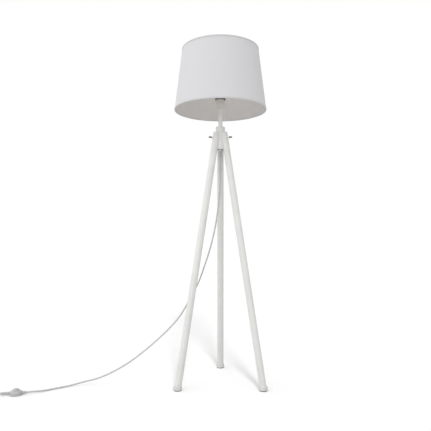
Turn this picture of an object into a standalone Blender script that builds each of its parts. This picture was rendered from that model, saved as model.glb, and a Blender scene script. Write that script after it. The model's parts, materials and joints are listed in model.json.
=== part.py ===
"""Tripod floor lamp with a drum shade, modelled as separate pieces.

Three straight dowel legs lean into grooves of a turned hub and are held there by a threaded
stud, a saddle washer and a knurled thumb nut each.  A threaded tube ties the hub, a stem sleeve
and a lampholder together; the shade hangs on the lampholder by a ring with three arms.  A cord
leaves the hub's underside, runs down to the floor and through a foot switch to its plug.

Metres, +Z up.  The stem stands on the Z axis, the floor is z = 0 and the cord runs towards -X.
"""

import math

import bmesh
import bpy
from mathutils import Matrix, Vector

MM = 0.001
GAP = 0.3 * MM                      # clearance left between pieces that touch

# Legs: round dowels whose axes lean towards the stem.
LEG_AZIMUTHS = {"front_left": 210.0, "front_right": 330.0, "back": 90.0}
LEG_RADIUS = 15.0 * MM
LEG_REACH_AT_FLOOR = 213.3 * MM     # radial distance of a leg's axis where it would meet z = 0
LEG_INWARD_SLOPE = 0.1713           # inward run for each metre of height
LEG_BOTTOM_Z = 7.5 * MM
LEG_TOP_Z = 1132.0 * MM
LEG_SEGMENTS = 24
SCARF_RADIAL = 11.0 * MM            # the flat on a leg's inner side, next to the hub's core

# Feet.
FOOT_RADIAL = 212.3 * MM
FOOT_RADIUS = 18.5 * MM
FOOT_TOP_Z = 18.0 * MM
PAD_RADIUS = 17.0 * MM
PAD_HEIGHT = 2.5 * MM

# Hub and its fasteners.
HUB_RADIUS = 21.0 * MM
HUB_BOTTOM_Z = 1054.0 * MM
HUB_TOP_Z = 1158.0 * MM
HUB_COUNTERBORE_TOP_Z = 1130.0 * MM
BOLT_Z = 1107.0 * MM
STUD_RADIUS = 2.0 * MM
STUD_INNER_END = 5.6 * MM
STUD_OUTER_END = 60.5 * MM
SADDLE_RADIUS = 4.8 * MM
SADDLE_OUTER_FACE = 47.0 * MM
NUT_INNER_FACE = 47.3 * MM
NUT_LENGTH = 12.2 * MM
NUT_RADIUS = 3.7 * MM
NUT_TEETH = 14

# Stem.
TUBE_RADIUS = 5.0 * MM
TUBE_BORE = 4.0 * MM
TUBE_CLEARANCE_BORE = 5.3 * MM
TUBE_BOTTOM_Z = 1045.5 * MM
TUBE_TOP_Z = 1256.5 * MM
STEM_RADIUS = 9.0 * MM
HOLDER_BOTTOM_Z = 1248.0 * MM

# Shade: a shallow cone of fabric on a liner, with a wire ring and a hem at each rim.
SHADE_BOTTOM_Z = 1233.5 * MM
SHADE_TOP_Z = 1513.3 * MM
SHADE_BOTTOM_RADIUS = 209.2 * MM
SHADE_TOP_RADIUS = 174.7 * MM
SHADE_SEGMENTS = 40
COVER_THICKNESS = 0.8 * MM
HEM_THICKNESS = 0.6 * MM
HEM_HEIGHT = 7.0 * MM
WIRE_RADIUS = 1.5 * MM
FITTER_Z = 1293.2 * MM

# Foot switch, seen along its length; it stands on the floor.
SWITCH_CENTRE = (-853.0 * MM, -170.0 * MM, 0.0)
SWITCH_HEADING = 10.0               # degrees its length is turned from the X axis
SWITCH_HALF_LENGTH = 26.5 * MM
SWITCH_HALF_WIDTH = 20.5 * MM
SWITCH_CORD_Z = 10.0 * MM
BOOT_LENGTHS = {1: 16.0 * MM, -1: 34.0 * MM}   # towards the lamp, and towards the plug
BUTTON_RADIUS = 13.0 * MM

# Cord, the coil of the length that isn't in use, and the plug.
CORD_RADIUS = 3.5 * MM
CORD_SPACING = 20.5 * MM
COIL_CENTRE = (-1000.0 * MM, -204.7 * MM)
COIL_INNER_RADIUS = 30.5 * MM
COIL_OUTER_RADIUS = 45.5 * MM
COIL_HEIGHT = 14.6 * MM
PLUG_REAR = (-1041.7 * MM, -288.0 * MM, 6.9 * MM)
PLUG_BOOT_LENGTH = 21.5 * MM
PLUG_SIZE = (26.0 * MM, 36.0 * MM, 13.4 * MM)
PIN_SPACING = 19.0 * MM
PIN_RADIUS = 2.0 * MM
PIN_LENGTH = 18.5 * MM

UPPER_ROUTE = [
    (0.0, 0.0, 1.0197), (0.0, 0.0, 0.985), (-0.0008, 0.0, 0.930), (-0.003, -0.0005, 0.870),
    (-0.0075, -0.001, 0.810), (-0.012, -0.0015, 0.775), (-0.019, -0.002, 0.726),
    (-0.030, -0.003, 0.671), (-0.0434, -0.004, 0.616), (-0.0689, -0.006, 0.534),
    (-0.0974, -0.008, 0.455), (-0.1265, -0.010, 0.398), (-0.1885, -0.014, 0.292),
    (-0.2925, -0.018, 0.186), (-0.428, -0.023, 0.082), (-0.537, -0.0366, 0.030),
    (-0.604, -0.044, 0.014), (-0.660, -0.070, 0.0058), (-0.711, -0.1010, 0.0042),
    (-0.7400, -0.1220, 0.0046), (-0.7640, -0.1390, 0.0062), (-0.7840, -0.1508, 0.0086),
    (-0.7980, -0.1585, 0.0099), (-0.8066, -0.1618, 0.0100),
]
LOWER_ROUTE = [
    (-0.9172, -0.1813, 0.0099), (-0.9245, -0.1814, 0.0085), (-0.9335, -0.1788, 0.0062),
    (-0.9435, -0.1738, 0.0043), (-0.9535, -0.1687, 0.0037), (-0.9635, -0.1648, 0.0037),
    (-0.9743, -0.1630, 0.0037),
]
TAIL_ROUTE = [
    (-1.0417, -0.2301, 0.0037), (-1.0417, -0.2425, 0.0045), (-1.0417, -0.2550, 0.0062),
    (-1.0417, -0.2657, 0.0069),
]


def clear_scene():
    """Remove every object that the scene starts with."""
    for obj in list(bpy.data.objects):
        bpy.data.objects.remove(obj, do_unlink=True)


def new_collection(name):
    collection = bpy.data.collections.new(name)
    bpy.context.scene.collection.children.link(collection)
    return collection


clear_scene()
LAMP = new_collection("tripod_floor_lamp")
CUTTERS = new_collection("cutters")


def material(name, colour, roughness, metallic=0.0, transmission=0.0):
    """A Principled material with a plain colour."""
    mat = bpy.data.materials.new(name)
    mat.use_nodes = True
    shader = mat.node_tree.nodes["Principled BSDF"]
    shader.inputs["Base Color"].default_value = (*colour, 1.0)
    shader.inputs["Roughness"].default_value = roughness
    shader.inputs["Metallic"].default_value = metallic
    shader.inputs["Transmission Weight"].default_value = transmission
    mat.diffuse_color = (*colour, 1.0)
    return mat


WHITE_WOOD = material("white_painted_wood", (0.80, 0.79, 0.76), 0.42)
WHITE_METAL = material("white_painted_metal", (0.80, 0.79, 0.77), 0.38)
FOOT_PLASTIC = material("foot_cap_plastic", (0.60, 0.60, 0.59), 0.50)
PAD_RUBBER = material("pad_rubber", (0.10, 0.10, 0.10), 0.80)
DARK_STEEL = material("dark_steel", (0.24, 0.24, 0.24), 0.38, 0.9)
ZINC_STEEL = material("zinc_steel", (0.55, 0.55, 0.54), 0.35, 1.0)
HOLDER_PLASTIC = material("holder_plastic", (0.66, 0.63, 0.57), 0.40)
RING_PLASTIC = material("ring_plastic", (0.04, 0.04, 0.04), 0.45)
CERAMIC = material("holder_ceramic", (0.78, 0.77, 0.74), 0.30)
BRASS = material("contact_brass", (0.72, 0.56, 0.26), 0.30, 1.0)
BULB_METAL = material("bulb_cap_metal", (0.70, 0.70, 0.70), 0.28, 1.0)
BULB_PLASTIC = material("bulb_base_plastic", (0.84, 0.84, 0.83), 0.35)
BULB_GLASS = material("bulb_frosted_globe", (0.92, 0.92, 0.90), 0.45)
SHADE_FABRIC = material("shade_fabric", (0.62, 0.61, 0.65), 0.85)
HEM_FABRIC = material("hem_fabric", (0.72, 0.71, 0.73), 0.85)
SHADE_LINER = material("shade_liner", (0.56, 0.54, 0.50), 0.70)
SWITCH_PLASTIC = material("switch_plastic", (0.58, 0.58, 0.58), 0.35)
CORD_PVC = material("cord_pvc", (0.55, 0.55, 0.55), 0.40)


def add_object(name, data, mat, parent=None, location=(0, 0, 0), rotation=(0, 0, 0),
               collection=None):
    """Link a new object for the given mesh or curve."""
    obj = bpy.data.objects.new(name, data)
    (collection or LAMP).objects.link(obj)
    obj.parent = parent
    obj.location = location
    obj.rotation_euler = rotation
    if mat is not None and not data.materials:
        data.materials.append(mat)
    return obj


def add_empty(name, location=(0, 0, 0), rotation=(0, 0, 0)):
    empty = bpy.data.objects.new(name, None)
    empty.empty_display_size = 0.05
    LAMP.objects.link(empty)
    empty.location = location
    empty.rotation_euler = rotation
    return empty


def bake(obj):
    """Replace an object's modifiers, or its curve, by the mesh that they make."""
    bpy.context.view_layer.update()
    depsgraph = bpy.context.evaluated_depsgraph_get()
    mesh = bpy.data.meshes.new_from_object(obj.evaluated_get(depsgraph), depsgraph=depsgraph)
    mesh.name = obj.name
    return mesh


def discard(*objects):
    for obj in objects:
        bpy.data.objects.remove(obj, do_unlink=True)


def outer_side_down(points, on_axis):
    """Order a profile so that its outer side runs from the top to the bottom."""
    if on_axis:
        return points if points[0][1] >= points[-1][1] else points[::-1]
    area = 0.0
    for (r1, z1), (r2, z2) in zip(points, points[1:] + points[:1]):
        area += r1 * z2 - r2 * z1
    return points if area < 0.0 else points[::-1]


def turned(name, profile, mat, steps=24, on_axis=False, scale=MM, **place):
    """Turn a profile of (radius, height) points about Z with a Screw modifier.

    A profile is a closed loop, or with on_axis it starts and ends on the axis.
    """
    points = outer_side_down([(r * scale, z * scale) for r, z in profile], on_axis)
    mesh = bpy.data.meshes.new(name)
    verts = [(r, 0.0, z) for r, z in points]
    edges = [(i, i + 1) for i in range(len(verts) - 1)]
    if not on_axis:
        edges.append((len(verts) - 1, 0))
    mesh.from_pydata(verts, edges, [])
    obj = add_object(name, mesh, mat, **place)
    screw = obj.modifiers.new("turn", "SCREW")
    screw.steps = steps
    screw.render_steps = steps
    screw.use_merge_vertices = True
    screw.merge_threshold = 0.00001
    screw.use_smooth_shade = False
    return obj


def cylinder_mesh(name, radius, z0, z1, segments, turn=0.0):
    """A capped cylinder along Z."""
    bm = bmesh.new()
    frame = Matrix.Translation((0, 0, (z0 + z1) / 2)) @ Matrix.Rotation(turn, 4, "Z")
    bmesh.ops.create_cone(bm, cap_ends=True, segments=segments, radius1=radius, radius2=radius,
                          depth=z1 - z0, matrix=frame)
    mesh = bpy.data.meshes.new(name)
    bm.to_mesh(mesh)
    bm.free()
    return mesh


def box_mesh(name, low, high):
    bm = bmesh.new()
    size = Vector(high) - Vector(low)
    centre = (Vector(high) + Vector(low)) / 2
    bmesh.ops.create_cube(bm, size=1.0, matrix=Matrix.Translation(centre) @ Matrix.Diagonal((*size, 1.0)))
    mesh = bpy.data.meshes.new(name)
    bm.to_mesh(mesh)
    bm.free()
    return mesh


def cutter(name, mesh, parent=None, location=(0, 0, 0), rotation=(0, 0, 0)):
    """A piece that only cuts others: wire display, not rendered."""
    obj = add_object(name, mesh, None, parent, location, rotation, CUTTERS)
    obj.display_type = "WIRE"
    obj.hide_render = True
    return obj


def cut(obj, tool):
    """Subtract one object from another with a live Boolean modifier."""
    boolean = obj.modifiers.new("cut_" + tool.name, "BOOLEAN")
    boolean.operation = "DIFFERENCE"
    boolean.solver = "EXACT"
    boolean.object = tool


def smooth_mesh(mesh, angle=35.0):
    mesh.shade_smooth()
    mesh.set_sharp_from_angle(angle=math.radians(angle))


def plate(name, outline, hole_radius, half_thickness, mat, hole_segments=20, **place):
    """A flat outline with a round hole, extruded along Z."""
    curve = bpy.data.curves.new(name, "CURVE")
    curve.dimensions = "2D"
    curve.fill_mode = "BOTH"
    curve.extrude = half_thickness
    ring = [(hole_radius * math.cos(a), hole_radius * math.sin(a))
            for a in (2 * math.pi * i / hole_segments for i in range(hole_segments))]
    for loop in (outline, ring):
        spline = curve.splines.new("POLY")
        spline.points.add(len(loop) - 1)
        for point, (x, y) in zip(spline.points, loop):
            point.co = (x, y, 0.0, 1.0)
        spline.use_cyclic_u = True
    draft = add_object(name + "_draft", curve, None)
    mesh = bake(draft)
    discard(draft)
    bm = bmesh.new()
    bm.from_mesh(mesh)
    bmesh.ops.remove_doubles(bm, verts=bm.verts, dist=0.00001)
    bm.to_mesh(mesh)
    bm.free()
    return add_object(name, mesh, mat, **place)


def polygon(radius, count, turn=0.0):
    return [(radius * math.cos(turn + 2 * math.pi * i / count),
             radius * math.sin(turn + 2 * math.pi * i / count)) for i in range(count)]


def smooth_route(points, spacing):
    """Points of a smooth curve (centripetal Catmull-Rom) through the route, evenly spaced."""
    route = [Vector(p) for p in points]
    route = [2 * route[0] - route[1]] + route + [2 * route[-1] - route[-2]]
    dense = []
    for i in range(1, len(route) - 2):
        p0, p1, p2, p3 = route[i - 1:i + 3]
        t1 = (p1 - p0).length ** 0.5
        t2 = t1 + (p2 - p1).length ** 0.5
        t3 = t2 + (p3 - p2).length ** 0.5
        for k in range(24):
            t = t1 + (t2 - t1) * k / 24
            a1 = p0 * ((t1 - t) / t1) + p1 * (t / t1)
            a2 = p1 * ((t2 - t) / (t2 - t1)) + p2 * ((t - t1) / (t2 - t1))
            a3 = p2 * ((t3 - t) / (t3 - t2)) + p3 * ((t - t2) / (t3 - t2))
            b1 = a1 * ((t2 - t) / t2) + a2 * (t / t2)
            b2 = a2 * ((t3 - t) / (t3 - t1)) + a3 * ((t - t1) / (t3 - t1))
            dense.append(b1 * ((t2 - t) / (t2 - t1)) + b2 * ((t - t1) / (t2 - t1)))
    dense.append(route[-2])
    total = sum((b - a).length for a, b in zip(dense, dense[1:]))
    count = max(2, round(total / spacing))
    result, walked, wanted = [dense[0]], 0.0, total / count
    for a, b in zip(dense, dense[1:]):
        step = (b - a).length
        while walked + step >= wanted - 1e-9 and len(result) < count:
            result.append(a.lerp(b, (wanted - walked) / step))
            wanted += total / count
        walked += step
    return result + [dense[-1]]


def rod(name, points, radius, mat, resolution=2, **place):
    """A round wire or cord along a chain of points, with filled ends."""
    curve = bpy.data.curves.new(name, "CURVE")
    curve.dimensions = "3D"
    curve.bevel_depth = radius
    curve.bevel_resolution = resolution
    curve.use_fill_caps = True
    spline = curve.splines.new("POLY")
    spline.points.add(len(points) - 1)
    for point, co in zip(spline.points, points):
        point.co = (*co, 1.0)
    return add_object(name, curve, mat, **place)


def leg_radial(z):
    """Radial distance of a leg's axis at a height."""
    return LEG_REACH_AT_FLOOR - LEG_INWARD_SLOPE * z


def shade_radius(z):
    """Outer radius of the shade's cover at a height."""
    share = (z - SHADE_BOTTOM_Z) / (SHADE_TOP_Z - SHADE_BOTTOM_Z)
    return SHADE_BOTTOM_RADIUS + share * (SHADE_TOP_RADIUS - SHADE_BOTTOM_RADIUS)


# Stations: one empty for each leg, its +X pointing outwards over the foot.
STATIONS = {name: add_empty("station_" + name, rotation=(0, 0, math.radians(azimuth)))
            for name, azimuth in LEG_AZIMUTHS.items()}
LEAN = math.atan(LEG_INWARD_SLOPE)
LEG_PLACE = {"location": (leg_radial(LEG_BOTTOM_Z), 0, LEG_BOTTOM_Z), "rotation": (0, -LEAN, 0)}
LEG_LENGTH = (LEG_TOP_Z - LEG_BOTTOM_Z) / math.cos(LEAN)
ALONG_X = (0, math.radians(90), 0)


def scarfed_dowel(name, radius, z0, z1, flat_radial):
    """A dowel in the leg's own frame, with a vertical flat on its inner side near the top."""
    draft = add_object(name + "_draft", cylinder_mesh(name, radius, z0, z1, LEG_SEGMENTS), None,
                       **LEG_PLACE)
    core_side = cutter("core_side", box_mesh("core_side", (-0.05, -0.04, 1.0),
                                             (flat_radial, 0.04, 1.25)))
    cut(draft, core_side)
    return draft, core_side


def build_legs():
    """Three dowels that share one mesh, each with a flat and a bolt hole."""
    draft, core_side = scarfed_dowel("leg", LEG_RADIUS, 0.0, LEG_LENGTH, SCARF_RADIAL)
    hole = cutter("leg_hole", cylinder_mesh("leg_hole", STUD_RADIUS + 0.4 * MM, 0.0, 0.07, 16),
                  location=(0, 0, BOLT_Z), rotation=ALONG_X)
    cut(draft, hole)
    mesh = bake(draft)
    discard(draft, core_side, hole)
    smooth_mesh(mesh)
    for name, station in STATIONS.items():
        add_object("leg_" + name, mesh, WHITE_WOOD, station, **LEG_PLACE)


def build_feet():
    """A cap with a leaning socket under each leg, standing on a thin round pad."""
    bottom = (PAD_HEIGHT + GAP) / MM
    top = FOOT_TOP_Z / MM
    radius = FOOT_RADIUS / MM
    draft = turned("foot_cap", [(0, top), (radius - 0.5, top), (radius, top - 0.6),
                                (radius, bottom + 0.8), (radius - 0.8, bottom), (0, bottom)],
                   None, on_axis=True, location=(FOOT_RADIAL, 0, 0))
    socket = cutter("foot_socket", cylinder_mesh("foot_socket", LEG_RADIUS + GAP, -GAP, 0.06,
                                                 LEG_SEGMENTS), **LEG_PLACE)
    cut(draft, socket)
    cap = bake(draft)
    discard(draft, socket)
    smooth_mesh(cap)
    pad = cylinder_mesh("foot_pad", PAD_RADIUS, 0.0, PAD_HEIGHT, 24)
    smooth_mesh(pad)
    for name, station in STATIONS.items():
        add_object("foot_cap_" + name, cap, FOOT_PLASTIC, station, (FOOT_RADIAL, 0, 0))
        add_object("foot_pad_" + name, pad, PAD_RUBBER, station, (FOOT_RADIAL, 0, 0))


def build_hub():
    """The turned block with three leaning grooves, a stepped bore and three cross holes."""
    top, bottom, radius = HUB_TOP_Z / MM, HUB_BOTTOM_Z / MM, HUB_RADIUS / MM
    step = HUB_COUNTERBORE_TOP_Z / MM
    hub = turned("hub", [(5.3, top), (radius - 1.8, top), (radius - 0.5, top - 0.6),
                         (radius, top - 2.0), (radius, bottom + 1.0), (radius - 1.0, bottom),
                         (8.3, bottom), (8.3, step), (5.3, step)], WHITE_WOOD, steps=40)
    draft, core_side = scarfed_dowel("groove", LEG_RADIUS + GAP, 0.9, LEG_LENGTH + GAP,
                                     SCARF_RADIAL - GAP)
    groove = bake(draft)
    discard(draft, core_side)
    hole = cylinder_mesh("hub_hole", STUD_RADIUS + 0.4 * MM, 0.004, 0.03, 16)
    for name, station in STATIONS.items():
        cut(hub, cutter("groove_" + name, groove, station, **LEG_PLACE))
    for name, station in STATIONS.items():
        cut(hub, cutter("hub_hole_" + name, hole, station, (0, 0, BOLT_Z), ALONG_X))


def build_core_sleeve():
    """The steel sleeve inside the hub, with a threaded cross hole for each stud."""
    sleeve = turned("core_sleeve", [(5.3, 1127), (8.0, 1127), (8.0, 1087), (5.3, 1087)],
                    ZINC_STEEL, steps=24)
    hole = cylinder_mesh("sleeve_hole", STUD_RADIUS + GAP, 0.002, 0.012, 12)
    for name, station in STATIONS.items():
        cut(sleeve, cutter("sleeve_hole_" + name, hole, station, (0, 0, BOLT_Z), ALONG_X))


def build_fasteners():
    """Stud, saddle washer and thumb nut for each leg; each nut's origin is on its stud."""
    stud = cylinder_mesh("stud", STUD_RADIUS, STUD_INNER_END, STUD_OUTER_END, 12)
    smooth_mesh(stud)
    draft = add_object("saddle_draft", cylinder_mesh("saddle", SADDLE_RADIUS, 0.030,
                                                     SADDLE_OUTER_FACE, 24), None,
                       location=(0, 0, BOLT_Z), rotation=ALONG_X)
    dowel = cutter("saddle_seat", cylinder_mesh("saddle_seat", LEG_RADIUS + GAP, 0.9, 1.3,
                                                LEG_SEGMENTS), **LEG_PLACE)
    hole = cutter("saddle_hole", cylinder_mesh("saddle_hole", STUD_RADIUS + GAP, 0.0, 0.07, 16),
                  location=(0, 0, BOLT_Z), rotation=ALONG_X)
    cut(draft, dowel)
    cut(draft, hole)
    saddle = bake(draft)
    discard(draft, dowel, hole)
    smooth_mesh(saddle)
    knurl = []
    for i in range(2 * NUT_TEETH):
        angle = math.pi * i / NUT_TEETH
        r = NUT_RADIUS if i % 2 == 0 else NUT_RADIUS - 0.35 * MM
        knurl.append((r * math.cos(angle), r * math.sin(angle)))
    draft = plate("thumb_nut_draft", knurl, STUD_RADIUS + GAP, NUT_LENGTH / 2, None)
    nut = draft.data
    nut.name = "thumb_nut"
    discard(draft)
    nut_centre = (NUT_INNER_FACE + NUT_LENGTH / 2, 0, BOLT_Z)
    for name, station in STATIONS.items():
        add_object("stud_" + name, stud, DARK_STEEL, station, (0, 0, BOLT_Z), ALONG_X)
        add_object("saddle_" + name, saddle, WHITE_METAL, station, (0, 0, BOLT_Z), ALONG_X)
        add_object("thumb_nut_" + name, nut, DARK_STEEL, station, nut_centre, ALONG_X)


def build_stem():
    """Tie tube, stem sleeve, and the washer, nut and gland under the hub."""
    turned("tie_tube", [(4.0, TUBE_TOP_Z / MM), (5.0, TUBE_TOP_Z / MM),
                        (5.0, TUBE_BOTTOM_Z / MM), (4.0, TUBE_BOTTOM_Z / MM)], ZINC_STEEL,
           steps=20)
    bottom, top = (HUB_TOP_Z + GAP) / MM, (HOLDER_BOTTOM_Z - GAP) / MM
    turned("stem_sleeve", [(8.3, top), (9.5, top), (9.5, bottom), (8.3, bottom)], WHITE_METAL)
    turned("bottom_washer", [(5.3, 1053.7), (16.0, 1053.7), (16.0, 1052.2), (5.3, 1052.2)],
           ZINC_STEEL, steps=32)
    plate("bottom_nut", polygon(8.1 * MM, 6), TUBE_CLEARANCE_BORE, 2.7 * MM, ZINC_STEEL,
          location=(0, 0, 1049.2 * MM))
    turned("cord_gland", [(3.9, 1045.2), (6.6, 1045.2), (7.0, 1044.6), (7.0, 1041.8),
                          (5.6, 1040.2), (4.5, 1020.6), (3.9, 1020.2)], SWITCH_PLASTIC, steps=24)
    rod("inner_cord", [(0, 0, 1.0200), (0, 0, 1.10), (0, 0, 1.18), (0, 0, 1.2660)],
        CORD_RADIUS, CORD_PVC, 3)


def build_lampholder():
    """Domed cap, threaded shell, insert, screw shell, contact and the two shade rings."""
    turned("holder_cap", [(19.5, 1266.0), (19.5, 1262.0), (18.6, 1256.6), (15.8, 1251.7),
                          (12.2, 1248.5), (10.6, 1248.0), (5.3, 1248.0), (5.3, 1256.0),
                          (8.5, 1256.0), (8.5, 1250.6), (11.4, 1250.5), (14.4, 1253.2),
                          (16.9, 1257.6), (17.8, 1262.4), (17.8, 1266.0)], HOLDER_PLASTIC)
    turned("holder_shell", [(19.5, 1300.0), (19.5, 1266.3), (17.8, 1266.3), (17.8, 1300.0)],
           HOLDER_PLASTIC)
    turned("holder_insert", [(17.4, 1299.0), (17.4, 1268.0), (2.5, 1268.0), (2.5, 1271.0),
                             (14.9, 1271.0), (14.9, 1299.0)], CERAMIC, steps=28)
    turned("holder_thread", [(14.5, 1297.0), (14.5, 1272.5), (13.6, 1272.5), (13.6, 1297.0)],
           BRASS, steps=28)
    turned("centre_contact", [(0, 1272.6), (5.0, 1272.3), (5.0, 1271.4), (2.2, 1271.4),
                              (2.2, 1266.9), (0, 1266.9)], BRASS, steps=16, on_axis=True)
    turned("shade_ring_lower", [(19.9, 1292.0), (23.0, 1292.0), (23.4, 1291.5), (23.4, 1283.1),
                                (22.9, 1282.6), (19.9, 1282.6)], RING_PLASTIC)
    turned("shade_ring_upper", [(19.9, 1298.0), (22.8, 1298.0), (23.4, 1297.2), (23.4, 1294.4),
                                (19.9, 1294.4)], RING_PLASTIC)


def build_bulb():
    """Globe bulb with a screw cap."""
    turned("bulb_cap", [(0, 1301.0), (13.1, 1301.0), (13.1, 1280.5), (9.5, 1276.6),
                        (4.6, 1274.3), (4.2, 1273.3), (0, 1272.9)], BULB_METAL, steps=24,
           on_axis=True)
    turned("bulb_base", [(0, 1335.5), (29.0, 1335.5), (28.5, 1330.5), (25.6, 1321.5),
                         (20.6, 1311.5), (16.0, 1304.5), (15.2, 1301.3), (0, 1301.3)],
           BULB_PLASTIC, steps=28, on_axis=True)
    turned("bulb_globe", [(0, 1386.0), (8.5, 1384.8), (17.0, 1380.8), (24.0, 1373.2),
                          (28.5, 1363.0), (30.0, 1352.0), (29.8, 1343.0), (29.2, 1335.8),
                          (0, 1335.8)], BULB_GLASS, steps=28, on_axis=True)


def build_shade():
    """Cover, liner, wire rings, hems, and the fitter ring with its three arms."""
    z0, z1 = SHADE_BOTTOM_Z, SHADE_TOP_Z
    edge = HEM_THICKNESS + GAP
    skin = COVER_THICKNESS

    def band(outer, inner):
        """A sloping band between two offsets inwards from the cover's outer surface."""
        low, high = z0 + edge, z1 - edge
        return [(shade_radius(high) - outer, high), (shade_radius(low) - outer, low),
                (shade_radius(low) - inner, low), (shade_radius(high) - inner, high)]

    turned("shade_cover", band(0.0, skin), SHADE_FABRIC, SHADE_SEGMENTS, scale=1.0)
    turned("shade_liner", band(skin + GAP, 2 * skin + GAP), SHADE_LINER, SHADE_SEGMENTS,
           scale=1.0)
    wire_inset = 2 * skin + 2 * GAP + WIRE_RADIUS
    wire_rise = edge + WIRE_RADIUS

    def wire_ring(name, z):
        bpy.ops.mesh.primitive_torus_add(
            major_segments=SHADE_SEGMENTS, minor_segments=6, minor_radius=WIRE_RADIUS,
            major_radius=shade_radius(z) - wire_inset - 0.1 * MM, location=(0, 0, z))
        ring = bpy.context.active_object
        ring.name = name
        ring.data.name = name
        ring.data.materials.append(WHITE_METAL)
        for collection in list(ring.users_collection):
            collection.objects.unlink(ring)
        LAMP.objects.link(ring)

    wire_ring("wire_ring_bottom", z0 + wire_rise)
    wire_ring("wire_ring_top", z1 - wire_rise)

    inner = wire_inset + WIRE_RADIUS + 0.1 * MM + GAP

    def hem(name, rim, up):
        """A strip folded round a rim: outside, across the edge, and up behind the wire."""
        def at(offset, rise):
            z = rim + up * rise
            return (shade_radius(z) + offset, z)
        t = HEM_THICKNESS
        turned(name, [at(GAP + t, HEM_HEIGHT), at(GAP + t, 0), at(-inner - t, 0),
                      at(-inner - t, wire_rise), at(-inner, wire_rise), at(-inner, t),
                      at(GAP, t), at(GAP, HEM_HEIGHT)], HEM_FABRIC, SHADE_SEGMENTS, scale=1.0)

    hem("hem_bottom", z0, 1)
    hem("hem_top", z1, -1)

    turned("fitter_ring", [(20.4, 1294.1), (24.5, 1294.1), (24.5, 1292.3), (20.4, 1292.3)],
           WHITE_METAL)
    wire_z = z0 + wire_rise
    end_radial = shade_radius(wire_z) - wire_inset - 1.0 * MM
    end_z = wire_z + WIRE_RADIUS + GAP
    arm = [(0.0249, 0, FITTER_Z), (0.034, 0, FITTER_Z), (0.050, 0, 1.2895), (0.120, 0, 1.2680),
           (0.185, 0, 1.2480), (0.1995, 0, 1.2428), (end_radial - 0.0007, 0, end_z + 0.0026),
           (end_radial, 0, end_z)]
    for name, station in STATIONS.items():
        rod("spider_arm_" + name, arm, WIRE_RADIUS, WHITE_METAL, parent=station)


def elliptical(mesh):
    """Stretch a turned mesh along X into the switch's oval."""
    mesh.transform(Matrix.Diagonal((SWITCH_HALF_LENGTH / SWITCH_HALF_WIDTH, 1.0, 1.0, 1.0)))


def build_switch():
    """Foot switch: base, cover, sprung button, spring and a boot at each end."""
    frame = add_empty("switch_frame", SWITCH_CENTRE, (0, 0, math.radians(SWITCH_HEADING)))
    draft = turned("switch_base_draft", [(0, 2.6), (17.6, 2.6), (18.8, 5.0), (18.8, 9.5),
                                         (20.5, 9.5), (20.5, 3.0), (19.2, 0.0), (0, 0.0)],
                   None, on_axis=True)
    base = bake(draft)
    discard(draft)
    elliptical(base)
    smooth_mesh(base)
    add_object("switch_base", base, SWITCH_PLASTIC, frame)
    draft = turned("switch_cover_draft", [(9.0, 21.0), (13.6, 20.2), (17.5, 17.2),
                                          (19.8, 13.2), (20.5, 9.8), (18.8, 9.8),
                                          (18.2, 12.6), (16.3, 15.8), (13.0, 18.3),
                                          (9.0, 19.2)], None)
    cover = bake(draft)
    discard(draft)
    elliptical(cover)
    draft = add_object("switch_cover_draft", cover, None)
    opening = cutter("button_opening", cylinder_mesh("button_opening", BUTTON_RADIUS + 0.4 * MM,
                                                     0.0, 0.04, 32))
    cut(draft, opening)
    cover = bake(draft)
    discard(draft, opening)
    smooth_mesh(cover)
    add_object("switch_cover", cover, SWITCH_PLASTIC, frame)
    button_z = 16.5
    turned("switch_button", [(0, 27.2 - button_z), (6.5, 27.0 - button_z),
                             (10.3, 26.2 - button_z), (12.3, 24.8 - button_z),
                             (13.0, 22.8 - button_z), (13.0, 0.0), (14.4, 0.0), (14.4, -1.5),
                             (0, -1.5)], SWITCH_PLASTIC, on_axis=True, parent=frame,
           location=(0, 0, button_z * MM))
    turns, per_turn = 4, 8
    low, high = 3.5 * MM, 14.1 * MM
    helix = []
    for i in range(turns * per_turn + 1):
        angle = 2 * math.pi * i / per_turn
        z = low + (high - low) * i / (turns * per_turn)
        helix.append((6.0 * MM * math.cos(angle), 6.0 * MM * math.sin(angle), z))
    rod("switch_spring", helix, 0.5 * MM, ZINC_STEEL, 1, parent=frame)
    start = (SWITCH_HALF_LENGTH + GAP) / MM
    for name, side in (("switch_boot_in", 1), ("switch_boot_out", -1)):
        end = start + BOOT_LENGTHS[side] / MM
        turned(name, [(0, end), (4.1, end), (6.2, start), (0, start)], SWITCH_PLASTIC, 16,
               on_axis=True, parent=frame, location=(0, 0, SWITCH_CORD_Z),
               rotation=(0, side * math.radians(90), 0))


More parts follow.
